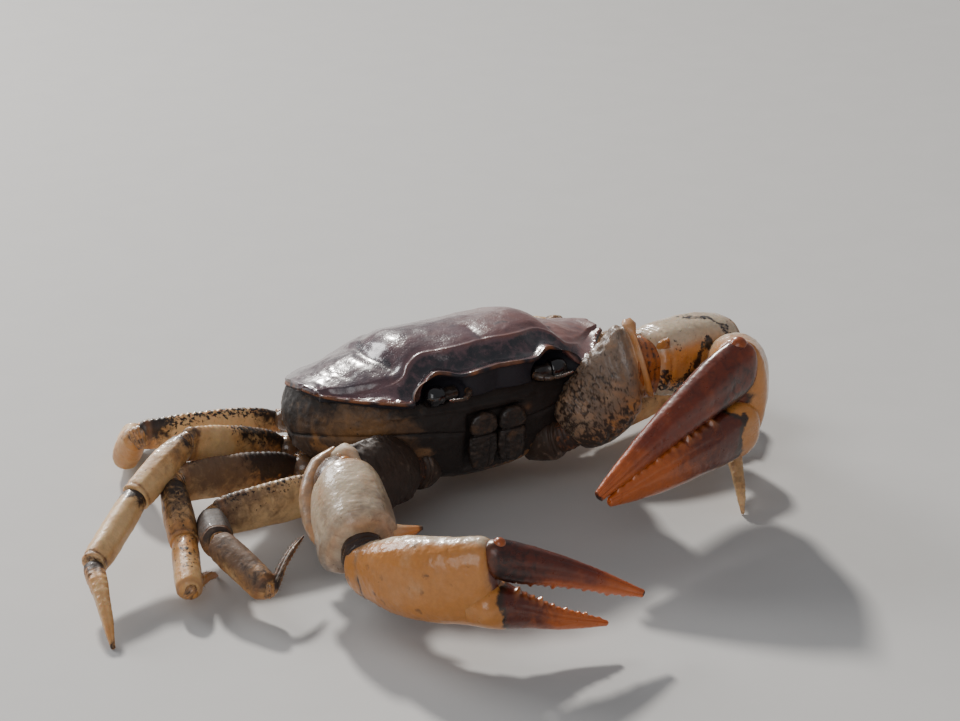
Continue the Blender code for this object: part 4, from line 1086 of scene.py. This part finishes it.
def build_arm(side, claw, seed):
    """Hip and arm of a claw; the arm ends in a flared rim round the wrist."""
    right = side == "right"
    root, elbow, arm_end = np.array(claw["arm"])
    hip = straight(root, elbow - unit(elbow - root) * 0.6, HIP, 3.2, 3.2)
    grid, place, angle = sweep(hip, 60, 72, 2.3, (0.4, 0.6))
    height = crust(grid, seed) - 0.25 * bell(place - 0.85, 0.03)
    # The hip is painted dark brown all over, partly as painted shade under the body.
    gloom = 0.76 + 0.2 * noise(grid, 1.8, seed + 4, 3)
    masks = paint(warm=0.8, dusk=0.95, dark=gloom, speck=0.5, dull=0.8)
    make(f"claw_{side}_hip_shell", [(raise_by(grid, height), masks)], "claw", f"claw_{side}_ischium")

    start = elbow + unit(arm_end - elbow) * 0.7
    stations = straight(start, arm_end - claw["arm_short"], ARM, *claw["arm_half"], claw["arm_sink"])
    if not right:
        turned = [smooth(0.4, 1.0, place) for place, _ in ARM]
        stations = [
            (middle, unit(axis) * (1 - share) + LEFT_MOUTH_WAY * share, high, wide)
            for (middle, axis, high, wide), share in zip(stations, turned)
        ]
    grid, place, angle = sweep(cup(stations, claw["mouth"]), 170, 132, 2.3, (0.5, 0.0), corners=0.07)
    if right:
        pull = unit(np.array(claw["wrist_end"]) - arm_end) * 4.2 + (-0.6, 0.1, -0.5)
        grid = grid + pull * (streak(angle, 85, 5) * smooth(0.8, 0.9, place))[..., None]
    outside, inside = smooth(0.84, 0.8, place), smooth(0.9, 0.93, place)
    rim = bell(place - 0.87, 0.03)
    edges = 0.42 * streak(angle, 13, 90) + 0.4 * streak(angle, 9, -30, -150)
    beads = edges * grains(grid, 1.15, seed + 8, 0.66) * smooth(0.08, 0.2, place)
    height = (
        (crust(grid, seed + 20) + beads) * outside + 0.22 * rim - 0.3 * bell(place - 0.78, 0.012)
        + 0.9 * bell(place - 0.8, 0.05) * streak(angle, 16, 90)
    )
    veins = network(grid, 0.95, seed + 3)
    blotch = noise(grid, 2.6, seed + 6, 3)
    if right:
        # The right arm is painted grey and dark up to its rim: painted shade, as it sits behind the wrist
        # under the body.
        masks = paint(
            warm=0.15 + 0.3 * blotch + 0.8 * inside,
            dusk=0.9 * smooth(0.86, 0.7, place) + 0.3 * blotch + 0.25,
            dark=0.85 * smooth(0.86, 0.7, place) + 0.15 * veins * outside + 0.15 * blotch + 0.2 * inside,
            speck=0.5 * smooth(0.8, 0.5, place), edge=0.5 * inside, dull=0.8,
        )
    else:
        rugae = np.abs(np.sin((place * 30 + 1.6 * noise(grid, 3, seed + 5, 2)) * math.pi)) ** 4
        height -= 0.03 * rugae * smooth(0.0, 0.6, np.sin(angle)) * outside
        # The veins are the shell's own; the darkening toward the root and on the lower side, and part of the
        # grey, are painted shade.
        lower = smooth(0.1, -0.5, np.sin(angle))
        gloom = 0.45 * veins + 0.42 * smooth(0.85, 0.1, place) + 0.22 * lower
        masks = paint(
            warm=0.7 + 0.3 * lower + 0.25 * rim + 0.3 * blotch,
            dusk=(0.8 - 0.3 * lower) * outside * smooth(0.84, 0.72, place) + 0.3 * blotch,
            dark=outside * gloom * (1 - 0.6 * bell(place - 0.8, 0.05)) + 0.25 * inside,
            speck=0.35 * outside * (1 - 0.4 * smooth(0.1, 0.7, np.cos(angle))),
            edge=0.3 * rim, dull=0.35 + 0.2 * blotch,
        )
    grids = [(raise_by(grid, height), masks)]
    if right:
        middle, axis, high, _ = stations[-1]
        axis = unit(axis)
        grids += [
            horn(middle + UP * high * 1.05 + axis * 0.9, UP + 0.5 * axis, 1.1, 0.8,
                 lambda p: paint(warm=0.25, dusk=0.2, dark=0.3 * smooth(0.6, 1, p))),
            ball(np.array((-29.2, -22.4, 17.0)), 1.1, paint(warm=0.9, dusk=0.3, dark=0.15)),
            side_rim(seed + 90),
        ]
    make(f"claw_{side}_arm_shell", grids, "claw", f"claw_{side}_merus")
    return stations


def build_wrist(side, claw, seed):
    """The wrist: a swollen glossy piece with a spine on its inner face."""
    right = side == "right"
    arm_end, wrist_end = np.array(claw["arm"][2]), np.array(claw["wrist_end"])
    axis = unit(wrist_end - arm_end)
    start = arm_end + axis * 0.1 + claw["wrist_shift"]
    stations = straight(start, wrist_end - axis * 0.8, WRISTS[side], *claw["wrist_half"])
    grid, place, angle = sweep(stations, 150, 150, 2.5, (1.6, 2.2), corners=0.06 if right else 0.03)
    blotch = noise(grid, 3.0, seed + 6, 3)
    lip = bell(place - 0.93, 0.02)
    height = crust(grid, seed, 0.9) + 0.25 * lip
    height -= 0.3 * bell(place - 0.9, 0.016) + 0.2 * bell(place - 0.12, 0.02)
    aim = unit(claw["spine"])
    if right:
        # The wrist is painted greyer on its underside: painted shade.
        masks = paint(
            warm=0.12 + 0.3 * blotch + 0.25 * smooth(0.86, 0.97, place) + 0.6 * smooth(0.14, 0.02, place),
            dusk=0.18 + 0.3 * blotch + 0.35 * smooth(0.3, -0.8, np.sin(angle))
            + 0.25 * smooth(0.4, 0.9, place),
            dark=0.5 * bell(place - 0.93, 0.012) + 0.6 * smooth(0.965, 1, place),
            speck=0.2 + 0.2 * blotch, edge=0.3 * lip, dull=0.05,
        )
        spine = 4.0, 1.35, lambda p: paint(warm=0.3 + 0.6 * p, dusk=0.1, dark=0.75 * smooth(0.75, 1, p))
    else:
        facing = normals(grid) @ aim
        face = smooth(0.2, 0.75, facing)
        cluster = smooth(0.05, 0.35, noise(grid, 2.6, seed + 31, 2))
        masks = paint(
            warm=0.1 + 0.85 * face * (1 - smooth(0.35, 0.8, np.sin(angle))) + 0.2 * blotch,
            dusk=0.2 * blotch + 0.15,
            dark=0.6 * face * cluster + 0.3 * bell(place - 0.9, 0.014),
            speck=0.3 + 0.9 * cluster * smooth(-0.2, 0.4, facing), edge=0.3 * lip, dull=0.0,
        )
        spine = 1.9, 0.95, lambda p: paint(warm=0.95, dusk=0.3, dark=0.3 * p)
    points = grid.reshape(-1, 3)
    foot = points[np.argmax(points @ aim)]
    grids = [(raise_by(grid, height), masks), horn(foot - aim * 0.6, aim, *spine)]
    make(f"claw_{side}_wrist_shell", grids, "claw", f"claw_{side}_carpus")


def heading(route, place):
    """Unit vector along a curve near a place on it."""
    before, after = curve(route, (max(place - 0.05, 0), min(place + 0.05, 1)))
    return unit(after - before)


def palm_stations(claw):
    """Stations of a hand, drawn in to its heel."""
    start, end = np.array(claw["palm_start"]), np.array(claw["palm_end"])
    route = [start, (start + end) / 2 + np.array(claw["palm_bow"]) / 2, end]
    stations = []
    for place, size in PALM:
        at = max(place, 0.0)
        half = int(at >= 0.5)
        share = smooth(0, 1, at * 2 - half)
        pair = (claw["height"], claw["thickness"])
        high, wide = (row[half] + (row[half + 1] - row[half]) * share for row in pair)
        axis = heading(route, at)
        stations.append((curve(route, at)[0] + axis * min(place, 0) * 20, axis, high * size, wide * size))
    return stations, unit(end - curve(route, 0.95)[0])


def finger_line(root, tip, rise, forward, profile, full, back, root_swell=0.0):
    """Stations of a finger: square to the hand at its root, turning into its own line."""
    route = [root, (root + tip) / 2 + UP * full * rise, tip]
    stations = []
    for place, size in profile:
        share = min(1.0, place * 2.5)
        axis = forward * (1 - share) + heading(route, place) * share
        wide = full * size * FINGER_FLAT * (1 + root_swell * max(0.0, 1 - place / 0.35) ** 2)
        stations.append((curve(route, place)[0], axis, full * size, wide))
    middle, _, high, wide = stations[0]
    return [(middle - forward * back, forward, high * 0.92, wide * 0.9), *stations]


def teeth(place, angle, middle, count, start):
    """Rounded teeth along the biting edge of a finger."""
    made, step = 0.0, (0.95 - start) / count
    for index in range(count):
        size = TOOTH_SIZES[index % 7] * (1.1 - 0.5 * index / count)
        made = made + size * bell(place - start - step * (index + 0.5), 0.33 * step)
    return made * streak(angle, 24, middle)


def build_palm(side, claw, seed):
    """The hand itself: its grid with masks, and the way its far end points."""
    stations, forward = palm_stations(claw)
    grid, place, angle = sweep(stations, 150, 168, 2.4, (1.2, 2.4))
    blotch = noise(grid, 3.4, seed + 6, 3)
    collar = bell(place - 0.94, 0.016) * smooth(-0.25, 0.2, np.sin(angle))
    knobs = streak(angle, 24, 90) * grains(grid, 1.2, seed + 3, 0.6)
    height = crust(grid, seed) + 0.18 * collar + 0.08 * knobs
    spots = 0.4 * smooth(0.62, 0.85, grains(grid, 3.1, seed + 13, 0.42))
    if side == "right":
        masks = paint(
            warm=0.92 - 1.1 * streak(angle, 17, 95) + 0.2 * blotch + 0.2 * smooth(0.3, -0.9, np.sin(angle)),
            dusk=0.1 * blotch + 0.5 * bell(place - 0.16, 0.03),
            dark=spots + 0.7 * bell(place - 0.17, 0.014) * smooth(0.6, -0.2, np.sin(angle))
            + 1.1 * bell(place - 0.13, 0.05) * streak(angle, 22, 112),
            red=0.9 * smooth(0.945, 1.0, place + 0.02 * np.sin(angle)),
            speck=0.12 + 0.1 * blotch, edge=0.2 * collar, dull=0.15,
        )
    else:
        masks = paint(
            warm=0.5 + 0.5 * smooth(0.6, 0.9, place) + 0.25 * blotch + 0.2 * smooth(0.2, -0.8, np.sin(angle)),
            dusk=0.1 + 0.3 * blotch,
            dark=spots + 0.9 * smooth(0.95, 1.0, place) * smooth(0.75, 0.0, np.abs(np.sin(angle))),
            red=0.6 * smooth(0.96, 1.0, place), speck=0.15 + 0.1 * blotch, edge=0.3 * collar, dull=0.1,
        )
    return (raise_by(grid, height), masks), forward


def build_thumb(side, claw, forward, seed):
    """The fixed finger, which grows from the hand."""
    full = claw["height"][2]
    rise, root_swell, profile = THUMBS[side]
    root = np.array(claw["palm_end"]) - UP * full * THUMB_ROOT
    line = finger_line(root, np.array(claw["thumb_tip"]), rise, forward, profile, full, 4.0, root_swell)
    grid, place, angle = sweep(line, 190, 80, 2.3, (0.3, 0.35))
    biting = teeth(place, angle, 90, 13, 0.3)
    ridges = streak(angle, 9, 30, 150) * smooth(0.3, 0.4, place)
    height = 0.62 * biting * (full / 6) - 0.13 * ridges + crust(grid, seed + 40, 0.6)
    boundary = place + 0.07 * noise(grid, 2.2, seed + 9, 3) + 0.03 * np.sin(angle)
    gloom = (
        0.8 * bell(boundary - 0.3, 0.06) + 0.35 * smooth(0.6, 0.3, boundary) + 0.6 * smooth(0.95, 1.0, place)
        - 0.5 * biting
    )
    if side == "left":
        gloom += 0.9 * smooth(0.85, 0.55, place)
    masks = paint(
        warm=0.95 + 0.2 * noise(grid, 2.4, seed + 51, 3), dusk=0.1,
        dark=np.clip(gloom, 0, 1) * smooth(0.2, 0.26, boundary),
        red=smooth(0.2, 0.34, boundary), tip=smooth(0.3, 0.95, place) + 0.5 * biting,
        speck=0.2, edge=0.7 * biting, dull=0.05,
    )
    return raise_by(grid, height), masks


def build_finger(side, claw, forward, seed):
    """The moving finger over the thumb, with the knob of its hinge."""
    full = claw["height"][2]
    root = np.array(claw["palm_end"]) + UP * full * FINGER_ROOT - forward * 0.4
    line = finger_line(root, np.array(claw["finger_tip"]), 0.08, forward, FINGER, full, 1.4)
    grid, place, angle = sweep(line, 210, 92, 2.3, (0.5, 0.35))
    biting = teeth(place, angle, -90, 14, 0.26)
    ridges = streak(angle, 8, 58, 122) + streak(angle, 9, 0, 180)
    pits = smooth(0.5, 0.9, grains(grid, 1.5, seed + 4, 0.34)) * ridges
    height = 0.6 * biting * (full / 6) - 0.12 * ridges * smooth(0.12, 0.2, place) - 0.1 * pits
    height += crust(grid, seed + 70, 0.6)
    blotch = noise(grid, 3.0, seed + 71, 3)
    # under: the lower side is painted brighter red, partly a painted glow of light shining through the shell.
    under = smooth(0.1, -0.7, np.sin(angle)) * smooth(0.15, 0.5, place)
    grey, gloom, shade, clean = (0.85, 0.6, 0.0, 1.0) if side == "right" else (0.5, 0.3, 0.4, 0.3)
    under *= clean
    masks = paint(
        warm=0.95 * smooth(1.0, 0.5, place) + 0.3 * blotch - 0.5 * under,
        dusk=grey * smooth(0.85, 0.3, place) + 0.3 * blotch - 0.6 * under,
        dark=gloom * smooth(0.6, 0.12, place) + 0.3 * blotch + shade * smooth(0.2, -0.8, np.sin(angle))
        + 0.5 * smooth(0.975, 1.0, place) - 0.4 * under,
        speck=0.15, edge=0.5 * biting + 0.2 * smooth(0.1, 0.03, place), dull=0.0,
    )
    hinge = ball(root + UP * full * 0.36 + forward * 0.3, full * 0.15, paint(warm=0.6, dusk=0.2, edge=0.3))
    grids = [(raise_by(grid, height), masks), hinge]
    make(f"claw_{side}_finger_shell", grids, "finger", f"claw_{side}_dactyl")


def build_claw_skins(side, claw, arm, seed):
    """Soft skin of a claw's joints: hip, wrist and hand."""
    root, elbow, arm_end = np.array(claw["arm"])
    wrist_end, start = np.array(claw["wrist_end"]), np.array(claw["palm_start"])
    arm_axis, wrist_axis = unit(arm_end - elbow), unit(wrist_end - arm_end)
    palm_axis = unit(np.array(claw["palm_end"]) - start)
    # The right claw's skins are painted grey and dark: painted shade; the left ones keep lighter tones.
    dusk, dark = (0.9, 0.9) if side == "right" else (0.1, 0.5)
    skins = [
        membrane(elbow - unit(elbow - root) * 1.6, elbow, elbow + arm_axis * 2.0,
                 (2.5, 2.4), seed, 0.95, dark=0.7, dull=0.9),
        membrane(arm[-1][0] - arm_axis * 0.8, arm_end + UP * 0.2, arm_end + wrist_axis * 2.6,
                 claw["wrist_skin"], seed + 1, 0.85, warm=1.0, dusk=dusk),
        membrane(wrist_end - wrist_axis * 1.8, (wrist_end + start) / 2, start + palm_axis * 1.4,
                 claw["palm_skin"], seed + 2, 0.8, dark=dark),
    ]
    make(f"claw_{side}_joint_skin", skins, "claw", material="membrane")


def build_claw(side, claw, seed):
    """Every piece of one claw."""
    arm = build_arm(side, claw, seed)
    build_wrist(side, claw, seed + 11)
    palm, forward = build_palm(side, claw, seed + 23)
    thumb = build_thumb(side, claw, forward, seed + 23)
    make(f"claw_{side}_hand_shell", [palm, thumb], "claw", f"claw_{side}_palm")
    build_finger(side, claw, forward, seed + 23)
    build_claw_skins(side, claw, arm, seed + 37)


# ---------------------------------------------------------------- bristles

# Rows of hairs on a leg: the segment, its flattening, the angles of the rows and hairs per millimetre.
HAIR_ROWS = (
    (3, 0.62, (40, 140, -40, -140), 2.0), (4, 0.78, (45, 135, -45, -135), 2.6), (2, 0.72, (75, 105), 1.2),
)
# Levels of a hair as place and thickness, and its faces: three sides, a foot and a tip.
HAIR_LEVELS = ((-0.08, 1.0), (0.45, 0.72), (0.8, 0.4))
HAIR_SIDES = [
    (low + corner, low + (corner + 1) % 3, low + 3 + (corner + 1) % 3, low + 3 + corner)
    for low in (0, 3) for corner in range(3)
]
HAIR_ENDS = [(6 + corner, 6 + (corner + 1) % 3, 9) for corner in range(3)] + [(2, 1, 0)]


def bristles(name, hairs, thick):
    """Stiff hairs as thin three-sided spikes that bend along the body, in one mesh.

    Each hair is its root, aim, length and place on an unwrap of the piece it grows from: along
    it, and round it.
    """
    roots, aims, lengths, spots = (np.array(column) for column in zip(*hairs))
    aims, lengths, count = unit(aims), lengths[:, None], len(hairs)
    aside = unit(np.cross(aims, RNG.normal(size=(count, 3))))
    other = np.cross(aims, aside)
    bend = aside * lengths * RNG.uniform(-0.25, 0.25, (count, 1)) - UP * lengths * 0.08
    verts = np.empty((count, 10, 3))
    for row, (place, size) in enumerate(HAIR_LEVELS):
        centre = roots + aims * lengths * place + bend * max(place, 0) ** 2
        for corner in range(3):
            angle = 2 * math.pi * corner / 3
            offset = aside * math.cos(angle) + other * math.sin(angle)
            verts[:, row * 3 + corner] = centre + offset * thick * size
    verts[:, 9] = roots + aims * lengths + bend
    base = (np.arange(count) * 10)[:, None, None]
    quads, tris = (base + np.array(faces) for faces in (HAIR_SIDES, HAIR_ENDS))
    mesh = raw_mesh(name, verts.reshape(-1, 3), quads.reshape(-1, 4), tris.reshape(-1, 3))
    layer = mesh.uv_layers.new(name="OFBake")
    index = np.empty(len(mesh.loops), np.int32)
    mesh.loops.foreach_get("vertex_index", index)
    local = index % 10
    patch = np.stack([(local % 3) / 3.0, local / 9.0], axis=-1) * 0.003 - 0.0015
    layer.data.foreach_set("uv", np.clip(spots[index // 10] + patch, 0, 1).astype(np.float32).ravel())
    put(bpy.data.objects.new(name, mesh), "bristle", None)


def frame_of(start, end):
    """Unit vectors along, across and upward of a limb segment."""
    axis = unit(end - start)
    across = unit(np.cross(axis, UP))
    return axis, across, np.cross(across, axis)


def leg_bristles(legs):
    """Rows of short stiff hairs along hands and toes of the walking legs."""
    hairs = []
    profiles = list(PROFILES.values())
    for number, (ends, halves) in enumerate(legs):
        for index, flat, rows, density in HAIR_ROWS:
            start, end = ends[index]
            axis, across, upward = frame_of(start, end)
            places, sizes = zip(*(stop[:2] for stop in profiles[index]))
            steps = int(np.linalg.norm(end - start) * density)
            for row, step in ((row, step) for row in rows for step in range(steps)):
                t = (step + RNG.uniform(0.2, 0.8)) / steps
                if not 0.08 < t < 0.93:
                    continue
                turned = math.radians(row + RNG.normal() * 7)
                out = across * math.cos(turned) * flat + upward * math.sin(turned)
                root = start + (end - start) * t + out * halves[index] * np.interp(t, places, sizes) * 0.96
                if index == 4:
                    root = root + upward * TOE_BOW * math.sin(math.pi * t)
                length = RNG.uniform(0.35, 0.8) * (1 - 0.4 * t)
                spot = ((number * 5 + index + t) / 40, turned / (2 * math.pi) % 1)
                hairs.append((root, unit(out) * 0.75 + axis * 0.8, length, spot))
    bristles("leg_bristles", [hair for hair in hairs if hair[0][2] > 0.25], 0.035)


def claw_bristles():
    """Soft hairs on the inner face of the left arm."""
    _, elbow, end = np.array(CLAWS["left"]["arm"])
    axis, across, upward = frame_of(elbow, end)
    high, wide = CLAWS["left"]["arm_half"]
    hairs = []
    for _ in range(420):
        t = RNG.uniform(0.05, 0.62)
        turned = math.radians(RNG.uniform(-20, 70))
        out = across * math.cos(turned) * wide + upward * math.sin(turned) * high
        root = elbow + (end - elbow) * t + out * np.interp(t, *zip(*ARM)) * 0.97
        aim = unit(out) * 0.5 + axis * 0.5 + UP * 0.3 + RNG.normal(size=3) * 0.2
        hairs.append((root, aim, RNG.uniform(0.5, 1.5), (t, turned / (2 * math.pi) % 1)))
    bristles("claw_left_bristles", hairs, 0.03)


# ---------------------------------------------------------------- room, light and camera

FLOOR_HALF = 6.0
CAMERA_TARGET = (8.894, 2.959, 15.986)
CAMERA_DISTANCE = 420
SUN_WAY = np.array((0.197, 0.822, 0.53))
LAMPS = (
    ("fill", (-420, -420, 330), (0, -10, 10), 0.42, 1.2),
    ("back_strip", (-160, 420, 260), (-10, 0, 20), 0.22, 1.6),
)


def aimed(name, data, place, target):
    """An object at a place in millimetres, with its -Z axis turned to a target."""
    obj = bpy.data.objects.new(name, data)
    obj.location = (np.array(place) + SHIFT) * MM
    obj.rotation_euler = Vector(np.subtract(target, place).tolist()).to_track_quat("-Z", "Y").to_euler()
    bpy.context.scene.collection.objects.link(obj)
    return obj


def build_room():
    """Floor, soft studio light and the camera."""
    mesh = bpy.data.meshes.new("floor")
    corners = [(x * FLOOR_HALF, y * FLOOR_HALF, 0) for x, y in ((-1, -1), (1, -1), (1, 1), (-1, 1))]
    mesh.from_pydata(corners, [], [(0, 1, 2, 3)])
    floor = bpy.data.objects.new("floor", mesh)
    floor.data.materials.append(MATERIALS["floor"])
    bpy.context.scene.collection.objects.link(floor)

    world = bpy.data.worlds.new("studio")
    bpy.context.scene.world = world
    world.use_nodes = True
    sky = world.node_tree.nodes["Background"].inputs
    sky["Color"].default_value = (0.93, 0.95, 1.0, 1.0)
    sky["Strength"].default_value = 0.27

    sun = bpy.data.lights.new("key", "SUN")
    sun.energy, sun.angle, sun.color = 3.7, math.radians(5), (1.0, 0.96, 0.9)
    aimed("key", sun, SUN_WAY * 600, (0, 0, 0))
    for name, place, target, size, power in LAMPS:
        lamp = bpy.data.lights.new(name, "AREA")
        lamp.size, lamp.energy = size, power
        aimed(name, lamp, place, target)
    lens = bpy.data.cameras.new("camera")
    lens.lens, lens.sensor_width, lens.clip_start = 102.4, 36, 0.01
    bpy.context.scene.camera = aimed("camera", lens, CAMERA_WAY * CAMERA_DISTANCE, CAMERA_TARGET)


# ---------------------------------------------------------------- assembly


def build_crab():
    """Every visible piece of the crab."""
    build_shield()
    build_trunk()
    build_abdomen()
    legs = []
    for number, (side, sign) in enumerate((("right", -1), ("left", 1))):
        build_mouthpart(sign, side)
        build_eye(sign, side)
        build_feeler(sign, side)
        build_claw(side, CLAWS[side], 300 + 100 * number)
        for index, leg in enumerate(LEG_LENGTHS):
            legs.append(build_leg(leg, sign, side, 500 + 90 * index + 400 * number))
    leg_bristles(legs)
    claw_bristles()


build_crab()
build_room()
bpy.context.view_layer.update()
